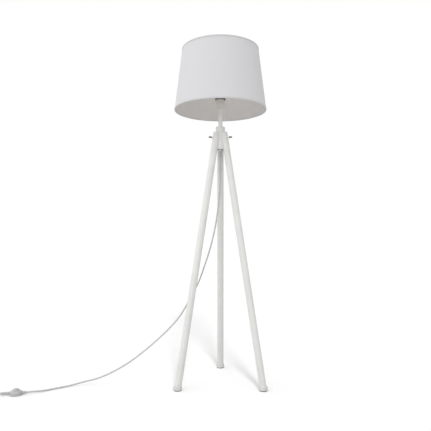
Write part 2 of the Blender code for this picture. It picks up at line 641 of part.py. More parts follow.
def build_plug():
    """Two-pin plug lying on the floor beside the coil, its pins pointing towards -Y."""
    turned("plug_boot", [(0, PLUG_BOOT_LENGTH / MM), (4.1, PLUG_BOOT_LENGTH / MM), (5.2, 0.3),
                         (0, 0.3)], SWITCH_PLASTIC, 16, on_axis=True, location=PLUG_REAR,
           rotation=(math.radians(-90), 0, 0))
    width, length, height = PLUG_SIZE
    bm = bmesh.new()
    bmesh.ops.create_cube(bm, size=1.0, matrix=Matrix.Translation((0, -length / 2, 0))
                          @ Matrix.Diagonal((width, length, height, 1.0)))
    for vert in bm.verts:
        if vert.co.y > -length / 4:
            vert.co.x *= 0.52
            vert.co.z *= 0.80
    mesh = bpy.data.meshes.new("plug_body")
    bm.to_mesh(mesh)
    bm.free()
    body = add_object("plug_body", mesh, SWITCH_PLASTIC, location=PLUG_REAR)
    bevel = body.modifiers.new("round_edges", "BEVEL")
    bevel.width = 2.2 * MM
    bevel.segments = 2
    for name, side in (("left", -1), ("right", 1)):
        x = PLUG_REAR[0] + side * PIN_SPACING / 2
        y = PLUG_REAR[1] - length
        socket = cylinder_mesh("pin_socket", PIN_RADIUS + GAP, -0.004, 0.004, 12)
        cut(body, cutter("pin_socket_" + name, socket, None, (x, y, PLUG_REAR[2]),
                         (math.radians(90), 0, 0)))
        pin = turned("plug_pin_" + name, [(0, PIN_LENGTH / MM), (1.3, PIN_LENGTH / MM),
                                          (2.0, PIN_LENGTH / MM - 1.2), (2.0, -3.7),
                                          (0, -3.7)], ZINC_STEEL, 12, on_axis=True)
        pin.location = (x, y, PLUG_REAR[2])
        pin.rotation_euler = (math.radians(90), 0, 0)


def switch_point(side):
    """Where the cord meets the boot at one end of the switch."""
    reach = side * (SWITCH_HALF_LENGTH + BOOT_LENGTHS[side] + 2 * GAP)
    heading = math.radians(SWITCH_HEADING)
    return Vector((SWITCH_CENTRE[0] + reach * math.cos(heading),
                   SWITCH_CENTRE[1] + reach * math.sin(heading), SWITCH_CORD_Z))


def build_cord():
    """The free cord: hub to switch, switch to coil, the coil's solid, coil to plug."""
    upper = smooth_route(UPPER_ROUTE, CORD_SPACING) + [switch_point(1)]
    lower = [switch_point(-1)] + smooth_route(LOWER_ROUTE, CORD_SPACING)
    rod("cord_upper", upper, CORD_RADIUS, CORD_PVC)
    rod("cord_lower", lower, CORD_RADIUS, CORD_PVC)
    rod("cord_tail", smooth_route(TAIL_ROUTE, CORD_SPACING / 2), CORD_RADIUS, CORD_PVC)
    inner, outer, height = COIL_INNER_RADIUS / MM, COIL_OUTER_RADIUS / MM, COIL_HEIGHT / MM
    turned("cord_coil", [(inner + 3, height), (outer - 3, height), (outer, height - 3),
                         (outer, 3.2), (outer - 3, 0.2), (inner + 3, 0.2), (inner, 3.2),
                         (inner, height - 3)], CORD_PVC, 32, location=(*COIL_CENTRE, 0))


build_legs()
build_feet()
build_hub()
build_core_sleeve()
build_fasteners()
build_stem()
build_lampholder()
build_bulb()
build_shade()
build_switch()
build_plug()
build_cord()
bpy.context.view_layer.update()
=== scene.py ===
"""Looks of a tripod floor lamp with a tapered drum shade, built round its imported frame.

Every sub-assembly is a class that holds its sizes, builds its meshes and dresses them.  Repeated
shapes (threads, knurls, ribs) and the shade's drum are grown by Geometry Nodes trees that are
written here and turned into plain meshes.  Metres, +Z up; profiles are in millimetres.
"""

import json
import logging
import math
from collections.abc import Sequence
from dataclasses import dataclass
from enum import Enum
from functools import cache

import bmesh
import bpy
from mathutils import Matrix, Vector

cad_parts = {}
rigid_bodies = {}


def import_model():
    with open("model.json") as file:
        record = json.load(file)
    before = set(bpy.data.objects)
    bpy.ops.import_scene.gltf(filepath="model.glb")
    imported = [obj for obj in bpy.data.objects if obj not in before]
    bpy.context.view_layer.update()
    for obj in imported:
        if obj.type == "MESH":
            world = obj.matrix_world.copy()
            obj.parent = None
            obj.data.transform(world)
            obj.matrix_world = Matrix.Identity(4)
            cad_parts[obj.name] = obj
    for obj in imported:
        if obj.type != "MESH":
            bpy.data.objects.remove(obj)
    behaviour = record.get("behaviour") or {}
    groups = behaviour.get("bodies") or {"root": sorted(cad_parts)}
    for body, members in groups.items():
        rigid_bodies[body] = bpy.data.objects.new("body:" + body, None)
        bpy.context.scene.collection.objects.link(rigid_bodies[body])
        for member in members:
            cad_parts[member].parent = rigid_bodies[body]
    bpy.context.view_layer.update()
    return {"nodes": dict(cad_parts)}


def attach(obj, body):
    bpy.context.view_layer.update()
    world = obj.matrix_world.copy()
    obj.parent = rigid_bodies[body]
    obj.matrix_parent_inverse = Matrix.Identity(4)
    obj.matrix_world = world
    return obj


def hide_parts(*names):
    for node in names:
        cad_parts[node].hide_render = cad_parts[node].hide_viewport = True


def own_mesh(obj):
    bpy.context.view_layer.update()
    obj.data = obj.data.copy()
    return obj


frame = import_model()

LOG = logging.getLogger("tripod_lamp")
MM = 0.001
GAP = 0.3 * MM
LOCAL = "local"  # attribute: a point in its piece's own frame, before it is put in place
WEAVE = "weave"  # UV map in metres: round the piece, and up its side

Profile = Sequence[tuple[float, float]]
Point = tuple[float, float, float]


class Slot(Enum):
    """The record's material slots."""

    WHITE_WOOD = "white_wood"
    WHITE_METAL = "white_metal"
    FOOT_PLASTIC = "foot_plastic"
    PAD_RUBBER = "pad_rubber"
    DARK_STEEL = "dark_steel"
    ZINC_STEEL = "zinc_steel"
    HOLDER_PLASTIC = "holder_plastic"
    RING_PLASTIC = "ring_plastic"
    HOLDER_CERAMIC = "holder_ceramic"
    CONTACT_BRASS = "contact_brass"
    BULB_METAL = "bulb_metal"
    BULB_PLASTIC = "bulb_plastic"
    BULB_GLOBE = "bulb_globe"
    SHADE_FABRIC = "shade_fabric"
    HEM_FABRIC = "hem_fabric"
    SHADE_LINER = "shade_liner"
    SWITCH_PLASTIC = "switch_plastic"
    CORD_PVC = "cord_pvc"


class Space(Enum):
    """What a finish's pattern is laid on."""

    OBJECT = "object"
    LOCAL = "local"
    WEAVE = "weave"


class Station(Enum):
    """A leg's place round the stem: its name and the azimuth of its foot in degrees."""

    FRONT_LEFT = ("front_left", 210.0)
    FRONT_RIGHT = ("front_right", 330.0)
    BACK = ("back", 90.0)

    @property
    def label(self) -> str:
        """The station's name in the names of its pieces."""
        return self.value[0]

    @property
    def turn(self) -> Matrix:
        """The turn about Z that brings +X over the foot."""
        return Matrix.Rotation(math.radians(self.value[1]), 4, "Z")


# ---------------------------------------------------------------------------------------------
# Node trees
# ---------------------------------------------------------------------------------------------


class NodeWriter:
    """Adds nodes to a tree and feeds their inputs with values or with other nodes' sockets."""

    def __init__(self, tree: bpy.types.NodeTree) -> None:
        """Write into the given tree."""
        self.tree = tree

    def feed(self, socket: bpy.types.NodeSocket, value: object) -> None:
        """Link a socket to the input, or set the input's value.

        Args:
            socket: the input.
            value: an output socket, or a plain value.
        """
        if isinstance(value, bpy.types.NodeSocket):
            self.tree.links.new(value, socket)
        else:
            socket.default_value = value

    def add(self, kind: str, inputs: dict | None = None, **settings: object) -> bpy.types.Node:
        """Add a node.

        Args:
            kind: Blender's name for the node type.
            inputs: values or sockets, by the input's name or number.
            settings: the node's own properties.

        Returns:
            The new node.
        """
        node = self.tree.nodes.new(kind)
        for key, value in settings.items():
            setattr(node, key, value)
        for key, value in (inputs or {}).items():
            self.feed(node.inputs[key], value)
        return node

    def maths(self, operation: str, *values: object) -> bpy.types.NodeSocket:
        """The result of a math node on one, two or three values."""
        return self.add("ShaderNodeMath", dict(enumerate(values)), operation=operation).outputs[0]


class Look(NodeWriter):
    """A material whose Principled shader is fed by procedural patterns."""

    def __init__(self, name: str, **sockets: object) -> None:
        """Make the material and set constant values on the shader's own sockets.

        Args:
            name: the material's name.
            sockets: constants by the socket's name, with _ for a space.
        """
        self.material = bpy.data.materials.new(name)
        self.material.use_nodes = True
        super().__init__(self.material.node_tree)
        self.shader = self.tree.nodes["Principled BSDF"]
        for key, value in sockets.items():
            self.shader.inputs[key.replace("_", " ")].default_value = value

    def where(self, space: Space, scale: Point = (1.0, 1.0, 1.0),
              offset: Point = (0.0, 0.0, 0.0)) -> bpy.types.NodeSocket:
        """A pattern's coordinates.

        Args:
            space: what the pattern is laid on.
            scale: stretch of each axis.
            offset: shift of the pattern.

        Returns:
            The mapped vector.
        """
        if space is Space.OBJECT:
            source = self.add("ShaderNodeTexCoord").outputs["Object"]
        elif space is Space.LOCAL:
            source = self.add("ShaderNodeAttribute", attribute_name=LOCAL).outputs["Vector"]
        else:
            source = self.add("ShaderNodeUVMap", uv_map=WEAVE).outputs["UV"]
        mapping = self.add("ShaderNodeMapping", {"Vector": source, "Scale": scale,
                                                 "Location": offset})
        return mapping.outputs["Vector"]

    def noise(self, vector: bpy.types.NodeSocket, size: float,
              detail: float = 3.0) -> bpy.types.NodeSocket:
        """Noise with features of about the given size in metres."""
        return self.add("ShaderNodeTexNoise", {"Vector": vector, "Scale": 1.0 / size,
                                               "Detail": detail}).outputs[0]

    def spread(self, value: bpy.types.NodeSocket, low: float, high: float,
               start: float = 0.35, end: float = 0.65) -> bpy.types.NodeSocket:
        """The value's range from start to end, brought to low and high."""
        return self.add("ShaderNodeMapRange", {"Value": value, "From Min": start, "From Max": end,
                                               "To Min": low, "To Max": high}).outputs[0]

    def blend(self, amount: object, first: object, second: object) -> bpy.types.NodeSocket:
        """A colour between two others."""
        return self.add("ShaderNodeMix", {0: amount, 6: first, 7: second},
                        data_type="RGBA").outputs[2]

    def cloudy(self, vector: bpy.types.NodeSocket, size: float, colour: Point, dark: float,
               light: float, detail: float = 3.0) -> bpy.types.NodeSocket:
        """A colour that drifts between two factors of itself, in clouds of about the given size."""
        clouds = self.spread(self.noise(vector, size, detail), 0.0, 1.0)
        return self.blend(clouds, rgba(colour, dark), rgba(colour, light))

    def paint(self, colour: bpy.types.NodeSocket) -> None:
        """Use a colour as the base colour."""
        self.feed(self.shader.inputs["Base Color"], colour)

    def rough(self, value: bpy.types.NodeSocket) -> None:
        """Use a value as the roughness."""
        self.feed(self.shader.inputs["Roughness"], value)

    def relief(self, *layers: tuple[bpy.types.NodeSocket, float]) -> None:
        """Stack bumps, the first at the bottom.

        Args:
            layers: each bump's height pattern and its depth in metres.
        """
        normal = None
        for height, depth in layers:
            inputs = {"Height": height, "Distance": depth, "Strength": 1.0}
            if normal is not None:
                inputs["Normal"] = normal
            normal = self.add("ShaderNodeBump", inputs).outputs[0]
        self.feed(self.shader.inputs["Normal"], normal)


def rgba(colour: Point, factor: float = 1.0) -> tuple[float, float, float, float]:
    """A colour with full alpha, made lighter or darker by a factor."""
    return (*(min(1.0, channel * factor) for channel in colour), 1.0)


class Rule(NodeWriter):
    """A Geometry Nodes tree with named inputs, which grows a mesh with no other input."""

    KINDS = {int: "NodeSocketInt", float: "NodeSocketFloat"}

    def __init__(self, name: str, **inputs: type) -> None:
        """Make the tree and its inputs.

        Args:
            name: the tree's name.
            inputs: the type of each input, int or float.
        """
        super().__init__(bpy.data.node_groups.new(name, "GeometryNodeTree"))
        for key, kind in inputs.items():
            self.tree.interface.new_socket(self.label(key), in_out="INPUT",
                                           socket_type=self.KINDS[kind])
        self.tree.interface.new_socket("Material", in_out="INPUT",
                                       socket_type="NodeSocketMaterial")
        self.tree.interface.new_socket("Geometry", in_out="OUTPUT",
                                       socket_type="NodeSocketGeometry")
        self.entry = self.tree.nodes.new("NodeGroupInput")

    @staticmethod
    def label(key: str) -> str:
        """The name an input shows for a Python keyword."""
        return key.replace("_", " ").title()

    def size(self, key: str) -> bpy.types.NodeSocket:
        """The socket that gives one of the tree's inputs."""
        return self.entry.outputs[self.label(key)]

    def vector(self, x: object = 0.0, y: object = 0.0, z: object = 0.0) -> bpy.types.NodeSocket:
        """A vector from three values."""
        return self.add("ShaderNodeCombineXYZ", {0: x, 1: y, 2: z}).outputs[0]

    def sweep(self, curve: bpy.types.NodeSocket, depth: object, sides: int,
              caps: bool) -> bpy.types.NodeSocket:
        """A tube with few sides along a curve.

        Args:
            curve: the curve's geometry.
            depth: the tube's radius.
            sides: how many sides it has.
            caps: whether its ends are closed.

        Returns:
            The tube's geometry.
        """
        upright = self.add("GeometryNodeSetCurveNormal", {"Curve": curve}, mode="Z_UP")
        section = self.add("GeometryNodeCurvePrimitiveCircle", {"Resolution": sides,
                                                                "Radius": depth})
        tube = self.add("GeometryNodeCurveToMesh", {"Curve": upright.outputs[0],
                                                    "Profile Curve": section.outputs[0],
                                                    "Fill Caps": caps})
        return tube.outputs[0]

    def close(self, geometry: bpy.types.NodeSocket) -> None:
        """End the tree: realize the instances, then set the material.

        Args:
            geometry: what the tree has grown.
        """
        real = self.add("GeometryNodeRealizeInstances", {0: geometry})
        dressed = self.add("GeometryNodeSetMaterial", {"Geometry": real.outputs[0],
                                                       "Material": self.size("material")})
        self.tree.links.new(dressed.outputs[0], self.tree.nodes.new("NodeGroupOutput").inputs[0])

    def grow(self, name: str, slot: Slot, **values: float) -> bpy.types.Mesh:
        """Run the tree once.

        Args:
            name: the mesh's name.
            slot: the material that the tree sets.
            values: the inputs.

        Returns:
            A plain mesh in the piece's own frame.
        """
        obj = bpy.data.objects.new(name, bpy.data.meshes.new(name))
        bpy.context.scene.collection.objects.link(obj)
        modifier = obj.modifiers.new("rule", "NODES")
        modifier.node_group = self.tree
        sockets = {item.name: item.identifier for item in self.tree.interface.items_tree
                   if item.item_type == "SOCKET" and item.in_out == "INPUT"}
        modifier[sockets["Material"]] = Palette.of(slot)
        for key, value in values.items():
            modifier[sockets[self.label(key)]] = value
        mesh = flatten(obj)
        obj.modifiers.clear()
        bpy.data.objects.remove(obj, do_unlink=True)
        return mesh


class Growth:
    """The trees that this lamp uses, each written once."""

    @staticmethod
    @cache
    def thread() -> Rule:
        """A helical ridge: the thread of a stud, a lampholder or a bulb cap.

        Returns:
            The tree.
        """
        rule = Rule("thread", radius=float, pitch=float, turns=float, start=float,
                    depth=float, steps=int)
        rise = rule.maths("MULTIPLY", rule.size("pitch"), rule.size("turns"))
        spiral = rule.add("GeometryNodeCurveSpiral", {
            "Resolution": rule.size("steps"), "Rotations": rule.size("turns"),
            "Start Radius": rule.size("radius"), "End Radius": rule.size("radius"),
            "Height": rise})
        lifted = rule.add("GeometryNodeTransform", {
            "Geometry": spiral.outputs[0],
            "Translation": rule.vector(z=rule.size("start"))})
        rule.close(rule.sweep(lifted.outputs[0], rule.size("depth"), 4, True))
        return rule

    @staticmethod
    @cache
    def knurl() -> Rule:
        """Straight ridges round a cylinder: the grip of a thumb nut or a ring.

        Returns:
            The tree.
        """
        rule = Rule("knurl", radius=float, count=int, length=float, middle=float, depth=float)
        circle = rule.add("GeometryNodeMeshCircle", {"Vertices": rule.size("count"),
                                                     "Radius": rule.size("radius")})
        ridge = rule.add("GeometryNodeMeshCylinder", {"Vertices": 4,
                                                      "Radius": rule.size("depth"),
                                                      "Depth": rule.size("length")})
        step = rule.maths("DIVIDE", 2 * math.pi, rule.size("count"))
        angle = rule.maths("MULTIPLY", rule.add("GeometryNodeInputIndex").outputs[0], step)
        turn = rule.add("FunctionNodeEulerToRotation", {0: rule.vector(z=angle)})
        placed = rule.add("GeometryNodeInstanceOnPoints", {
            "Points": circle.outputs[0], "Instance": ridge.outputs[0],
            "Rotation": turn.outputs[0]})
        lifted = rule.add("GeometryNodeTransform", {
            "Geometry": placed.outputs[0],
            "Translation": rule.vector(z=rule.size("middle"))})
        rule.close(lifted.outputs[0])
        return rule

    @staticmethod
    @cache
    def ribs() -> Rule:
        """Rings in a row along a taper: the ribs of a strain relief.

        Returns:
            The tree.
        """
        rule = Rule("ribs", count=int, start=float, step=float, first_radius=float,
                    last_radius=float, depth=float)
        row = rule.add("GeometryNodeMeshLine", {
            "Count": rule.size("count"), "Start Location": rule.vector(z=rule.size("start")),
            "Offset": rule.vector(z=rule.size("step"))}, mode="OFFSET")
        circle = rule.add("GeometryNodeCurvePrimitiveCircle", {
            "Resolution": 28, "Radius": rule.size("first_radius")})
        ring = rule.sweep(circle.outputs[0], rule.size("depth"), 6, False)
        last = rule.maths("SUBTRACT", rule.size("count"), 1.0)
        share = rule.maths("DIVIDE", rule.add("GeometryNodeInputIndex").outputs[0], last)
        change = rule.maths("SUBTRACT", rule.maths("DIVIDE", rule.size("last_radius"),
                                                   rule.size("first_radius")), 1.0)
        scale = rule.maths("MULTIPLY_ADD", share, change, 1.0)
        placed = rule.add("GeometryNodeInstanceOnPoints", {
            "Points": row.outputs[0], "Instance": ring,
            "Scale": rule.vector(scale, scale, 1.0)})
        rule.close(placed.outputs[0])
        return rule

    @staticmethod
    @cache
    def drum() -> Rule:
        """The open side of a tapered drum, with the faint waviness of cloth on a stiff liner.

        Returns:
            The tree.
        """
        rule = Rule("drum", bottom_radius=float, top_radius=float, bottom=float, top=float,
                    segments=int, rows=int, waviness=float, seed=float)
        wall = rule.add("GeometryNodeMeshCylinder", {
            "Vertices": rule.size("segments"), "Side Segments": rule.size("rows"),
            "Radius": 1.0, "Depth": 1.0}, fill_type="NONE")
        place = rule.add("GeometryNodeInputPosition").outputs[0]
        apart = rule.add("ShaderNodeSeparateXYZ", {0: place})
        share = rule.maths("ADD", apart.outputs[2], 0.5)
        taper = rule.maths("SUBTRACT", rule.size("top_radius"), rule.size("bottom_radius"))
        cone = rule.maths("MULTIPLY_ADD", share, taper, rule.size("bottom_radius"))
        wave = rule.add("ShaderNodeTexNoise", {
            "Vector": place, "W": rule.size("seed"), "Scale": 2.6, "Detail": 1.0},
            noise_dimensions="4D")
        centred = rule.maths("SUBTRACT", wave.outputs[0], 0.5)
        inside = rule.maths("MULTIPLY", share, rule.maths("SUBTRACT", 1.0, share))
        push = rule.maths("MULTIPLY", rule.maths("MULTIPLY", centred, inside),
                          rule.size("waviness"))
        radius = rule.maths("ADD", cone, push)
        height = rule.maths("MULTIPLY_ADD", share,
                            rule.maths("SUBTRACT", rule.size("top"), rule.size("bottom")),
                            rule.size("bottom"))
        moved = rule.add("GeometryNodeSetPosition", {
            "Geometry": wall.outputs[0],
            "Position": rule.vector(rule.maths("MULTIPLY", apart.outputs[0], radius),
                                    rule.maths("MULTIPLY", apart.outputs[1], radius),
                                    height)})
        rule.close(moved.outputs[0])
        return rule


# ---------------------------------------------------------------------------------------------
# Finishes
# ---------------------------------------------------------------------------------------------


@dataclass(frozen=True)
class PaintFinish:
    """Satin paint: on wood the grain shows through it, on metal it has a fine orange peel."""

    colour: Point
    roughness: float
    grain: float = 0.0          # depth of the grain in metres
    peel: float = 0.00002       # depth of the paint's own texture in metres
    scuff_height: float = 0.0   # scuffs fade out at this height above the floor
    scuff_strength: float = 0.22

    def make(self, name: str) -> bpy.types.Material:
        """Write the finish as a material.

        Args:
            name: the material's name.

        Returns:
            The material.
        """
        look = Look(name, Roughness=self.roughness, Coat_Weight=0.12, Coat_Roughness=0.25)
        own = look.where(Space.LOCAL)
        tone = look.cloudy(own, 0.06, self.colour, 0.965, 1.02)
        layers = [(look.noise(own, 0.0022, 2.0), self.peel)]
        if self.grain:
            fine = look.noise(look.where(Space.LOCAL, (1.0, 1.0, 0.02)), 0.0011, 4.0)
            broad = look.noise(look.where(Space.LOCAL, (1.0, 1.0, 0.035), (0.3, 0.1, 0.0)), 0.006)
            line = look.maths("MULTIPLY", look.spread(fine, 0.0, 1.0, 0.40, 0.72),
                              look.spread(broad, 0.25, 1.0))
            tone = look.blend(look.maths("MULTIPLY", line, 0.34), tone, rgba(self.colour, 0.80))
            layers.append((look.maths("SUBTRACT", 1.0, line), self.grain))
        if self.scuff_height:
            height = look.add("ShaderNodeSeparateXYZ", {0: look.where(Space.OBJECT)}).outputs[2]
            low = look.spread(height, 1.0, 0.0, 0.0, self.scuff_height)
            specks = look.spread(look.noise(own, 0.005, 5.0), 0.0, 1.0, 0.56, 0.70)
            scuffs = look.maths("MULTIPLY", look.maths("MULTIPLY", low, specks),
                                self.scuff_strength)
            tone = look.blend(scuffs, tone, rgba(self.colour, 0.72))
        look.paint(tone)
        look.rough(look.spread(look.noise(own, 0.015), self.roughness - 0.05,
                               self.roughness + 0.07))
        look.relief(*layers)
        return look.material


@dataclass(frozen=True)
class MouldedFinish:
    """Moulded plastic, rubber or glazed ceramic with a fine spark-eroded texture."""

    colour: Point
    roughness: float
    texture: float = 0.00003
    mottle: float = 0.04        # how much lighter and darker the colour gets
    coat: float = 0.0
    texture_size: float = 0.0007

    def make(self, name: str) -> bpy.types.Material:
        """Write the finish as a material.

        Args:
            name: the material's name.

        Returns:
            The material.
        """
        look = Look(name, Roughness=self.roughness, Coat_Weight=self.coat, Coat_Roughness=0.12)
        place = look.where(Space.OBJECT)
        tone = look.cloudy(place, 0.018, self.colour, 1.0 - self.mottle, 1.0 + self.mottle)
        dust = look.spread(look.noise(place, 0.0016, 5.0), 0.0, 1.0, 0.50, 0.75)
        look.paint(look.blend(look.maths("MULTIPLY", dust, 0.10), tone,
                              rgba(self.colour, 0.86)))
        look.rough(look.spread(look.noise(place, 0.009), self.roughness - 0.05,
                               self.roughness + 0.08))
        look.relief((look.noise(place, self.texture_size, 2.0), self.texture))
        return look.material


@dataclass(frozen=True)
class MetalFinish:
    """Plated or blackened metal with turning marks round its axis and slight tarnish."""

    colour: Point
    roughness: float
    marks: float = 0.00002

    def make(self, name: str) -> bpy.types.Material:
        """Write the finish as a material.

        Args:
            name: the material's name.

        Returns:
            The material.
        """
        look = Look(name, Roughness=self.roughness, Metallic=1.0)
        place = look.where(Space.OBJECT)
        look.paint(look.cloudy(place, 0.004, self.colour, 0.86, 1.10, 4.0))
        lines = look.noise(look.where(Space.OBJECT, (0.15, 0.15, 3.0)), 0.0012, 2.0)
        look.rough(look.spread(lines, self.roughness - 0.06, self.roughness + 0.12))
        look.relief((lines, self.marks))
        return look.material


@dataclass(frozen=True)
class WovenFinish:
    """Plain-woven cloth: threads over and under each other with painted shade between them, slubs,
    and a soft sheen.
    """

    colour: Point
    pitch: float = 0.00085      # from thread to thread
    depth: float = 0.00012
    slub: float = 0.04

    def make(self, name: str) -> bpy.types.Material:
        """Write the finish as a material.

        Args:
            name: the material's name.

        Returns:
            The material.
        """
        look = Look(name, Roughness=0.88, Sheen_Weight=0.18, Sheen_Roughness=0.5)
        apart = look.add("ShaderNodeSeparateXYZ", {0: look.where(Space.WEAVE)})
        round_, up = apart.outputs[0], apart.outputs[1]
        turn = math.pi / self.pitch
        warp = look.maths("SINE", look.maths("MULTIPLY", round_, turn))
        weft = look.maths("SINE", look.maths("MULTIPLY", up, turn))
        warp_face = look.maths("ABSOLUTE", look.maths("COSINE",
                                                      look.maths("MULTIPLY", round_, turn / 2)))
        weft_face = look.maths("ABSOLUTE", look.maths("COSINE",
                                                      look.maths("MULTIPLY", up, turn / 2)))
        over = look.spread(look.maths("MULTIPLY", warp, weft), 0.0, 1.0, -0.25, 0.25)
        difference = look.maths("SUBTRACT", warp_face, weft_face)
        weave = look.maths("MULTIPLY_ADD", over, difference, weft_face)
        upright = look.noise(look.where(Space.WEAVE, (1.0, 0.08, 1.0)), 0.0011, 3.0)
        level = look.noise(look.where(Space.WEAVE, (0.06, 1.0, 1.0), (0.7, 0.2, 0.0)), 0.0010, 3.0)
        slubs = look.maths("ADD", look.spread(upright, -0.5, 0.5), look.spread(level, -0.5, 0.5))
        tone = look.blend(look.spread(slubs, 0.0, 1.0, -1.0, 1.0),
                          rgba(self.colour, 1.0 - self.slub), rgba(self.colour, 1.0 + self.slub / 2))
        # Where the threads dip the colour is darkened towards 0.70: painted shade in the weave's
        # hollows.
        look.paint(look.blend(look.spread(weave, 0.30, 0.0, 0.0, 1.0), tone,
                              rgba(self.colour, 0.70)))
        look.rough(look.spread(slubs, 0.82, 0.94, -1.0, 1.0))
        look.relief((weave, self.depth), (slubs, self.depth * 0.8))
        return look.material


@dataclass(frozen=True)
class LaminateFinish:
    """The shade's stiff plastic liner: smooth, with faint rolling marks and a warm tone."""

    colour: Point

    def make(self, name: str) -> bpy.types.Material:
        """Write the finish as a material.

        Args:
            name: the material's name.

        Returns:
            The material.
        """
        look = Look(name, Roughness=0.55)
        marks = look.noise(look.where(Space.WEAVE, (1.0, 0.02, 1.0)), 0.004, 3.0)
        cloud = look.noise(look.where(Space.WEAVE), 0.05, 2.0)
        both = look.maths("ADD", look.maths("MULTIPLY", marks, 0.5),
                          look.maths("MULTIPLY", cloud, 0.5))
        look.paint(look.blend(look.spread(both, 0.0, 1.0, 0.4, 0.6), rgba(self.colour, 0.98),
                              rgba(self.colour, 1.015)))
        look.rough(look.spread(marks, 0.50, 0.62))
        look.relief((look.noise(look.where(Space.WEAVE), 0.0009, 2.0), 0.00003),
                    (marks, 0.00004))
        return look.material


@dataclass(frozen=True)
class OpalFinish:
    """Satin opal glass with a faint inner coating."""

    colour: Point

    def make(self, name: str) -> bpy.types.Material:
        """Write the finish as a material.

        Args:
            name: the material's name.

        Returns:
            The material.
        """
        look = Look(name, Roughness=0.30, Coat_Weight=0.5, Coat_Roughness=0.10,
                    Subsurface_Weight=0.25, Subsurface_Scale=0.004)
        place = look.where(Space.OBJECT)
        look.paint(look.cloudy(place, 0.012, self.colour, 0.975, 1.01))
        look.rough(look.spread(look.noise(place, 0.003), 0.26, 0.36))
        look.relief((look.noise(place, 0.0006, 1.0), 0.00001))
        return look.material


@dataclass(frozen=True)
class SheathFinish:
    """The cord's PVC sheath: extrusion lines along it, a soft gloss and slight soiling."""

    colour: Point

    def make(self, name: str) -> bpy.types.Material:
        """Write the finish as a material.

        Args:
            name: the material's name.

        Returns:
            The material.
        """
        look = Look(name, Roughness=0.38, Coat_Weight=0.15, Coat_Roughness=0.2)
        own = look.where(Space.LOCAL)
        lines = look.noise(look.where(Space.LOCAL, (1.0, 1.0, 0.01)), 0.0007, 2.0)
        grime = look.spread(look.noise(own, 0.02, 4.0), 0.0, 1.0, 0.45, 0.70)
        tone = look.blend(look.spread(lines, 0.0, 1.0), rgba(self.colour, 0.96),
                          rgba(self.colour, 1.03))
        look.paint(look.blend(look.maths("MULTIPLY", grime, 0.22), tone,
                              rgba(self.colour, 0.82)))
        look.rough(look.spread(grime, 0.36, 0.48, 0.0, 1.0))
        look.relief((lines, 0.00003), (look.noise(own, 0.0006, 2.0), 0.00001))
        return look.material


class Palette:
    """One material for each slot, made at its first use."""

    FINISHES = {
        Slot.WHITE_WOOD: PaintFinish((0.80, 0.798, 0.78), 0.48, grain=0.00008,
                                     scuff_height=0.20),
        Slot.WHITE_METAL: PaintFinish((0.86, 0.85, 0.84), 0.36),
        Slot.FOOT_PLASTIC: MouldedFinish((0.70, 0.70, 0.685), 0.46),
        Slot.PAD_RUBBER: MouldedFinish((0.055, 0.055, 0.055), 0.80, 0.00006, mottle=0.12),
        Slot.DARK_STEEL: MetalFinish((0.24, 0.235, 0.23), 0.42),
        Slot.ZINC_STEEL: MetalFinish((0.58, 0.58, 0.57), 0.34),
        Slot.HOLDER_PLASTIC: MouldedFinish((0.78, 0.745, 0.70), 0.36, coat=0.15),
        Slot.RING_PLASTIC: MouldedFinish((0.022, 0.022, 0.022), 0.42, mottle=0.15),
        Slot.HOLDER_CERAMIC: MouldedFinish((0.76, 0.75, 0.71), 0.24, 0.00002, coat=0.5),
        Slot.CONTACT_BRASS: MetalFinish((0.72, 0.53, 0.24), 0.28),
        Slot.BULB_METAL: MetalFinish((0.68, 0.68, 0.67), 0.26),
        Slot.BULB_PLASTIC: MouldedFinish((0.82, 0.82, 0.80), 0.34, 0.00001, coat=0.2),
        Slot.BULB_GLOBE: OpalFinish((0.90, 0.89, 0.87)),
        Slot.SHADE_FABRIC: WovenFinish((0.735, 0.732, 0.748)),
        # The hems get a darker copy of the cover's cloth: painted shade along the rims.
        Slot.HEM_FABRIC: WovenFinish((0.66, 0.655, 0.67), pitch=0.0007, slub=0.03),
        Slot.SHADE_LINER: LaminateFinish((0.775, 0.752, 0.732)),
        Slot.SWITCH_PLASTIC: MouldedFinish((0.50, 0.50, 0.50), 0.34, coat=0.2),
        Slot.CORD_PVC: SheathFinish((0.56, 0.56, 0.565)),
    }

    @classmethod
    @cache
    def of(cls, slot: Slot) -> bpy.types.Material:
        """The material of a slot."""
        return cls.FINISHES[slot].make(slot.value + "_finish")


# ---------------------------------------------------------------------------------------------
# Meshes
# ---------------------------------------------------------------------------------------------


def flatten(obj: bpy.types.Object) -> bpy.types.Mesh:
    """A plain mesh of an object as its modifiers leave it.

    Args:
        obj: the object, linked to the scene.

    Returns:
        A new mesh.
    """
    bpy.context.view_layer.update()
    depsgraph = bpy.context.evaluated_depsgraph_get()
    mesh = bpy.data.meshes.new_from_object(obj.evaluated_get(depsgraph), depsgraph=depsgraph)
    mesh.name = obj.name
    return mesh


def mesh_of(name: str, points: Sequence[Sequence[float]],
            faces: Sequence[Sequence[int]]) -> bpy.types.Mesh:
    """A closed mesh whose faces point outwards.

    Args:
        name: the mesh's name.
        points: its corners.
        faces: the corners of each face.

    Returns:
        The mesh.
    """
    mesh = bpy.data.meshes.new(name)
    mesh.from_pydata([tuple(p) for p in points], [], [tuple(f) for f in faces])
    return tidy(mesh)


def tidy(mesh: bpy.types.Mesh, merge: float = 1e-7) -> bpy.types.Mesh:
    """Merge doubles and turn the faces outwards.

    Args:
        mesh: the mesh to clean, which is changed.
        merge: how near two corners are to be one, in metres.

    Returns:
        The same mesh.
    """
    bm = bmesh.new()
    bm.from_mesh(mesh)
    bmesh.ops.remove_doubles(bm, verts=bm.verts, dist=merge)
    bmesh.ops.recalc_face_normals(bm, faces=bm.faces)
    bm.to_mesh(mesh)
    bm.free()
    return mesh


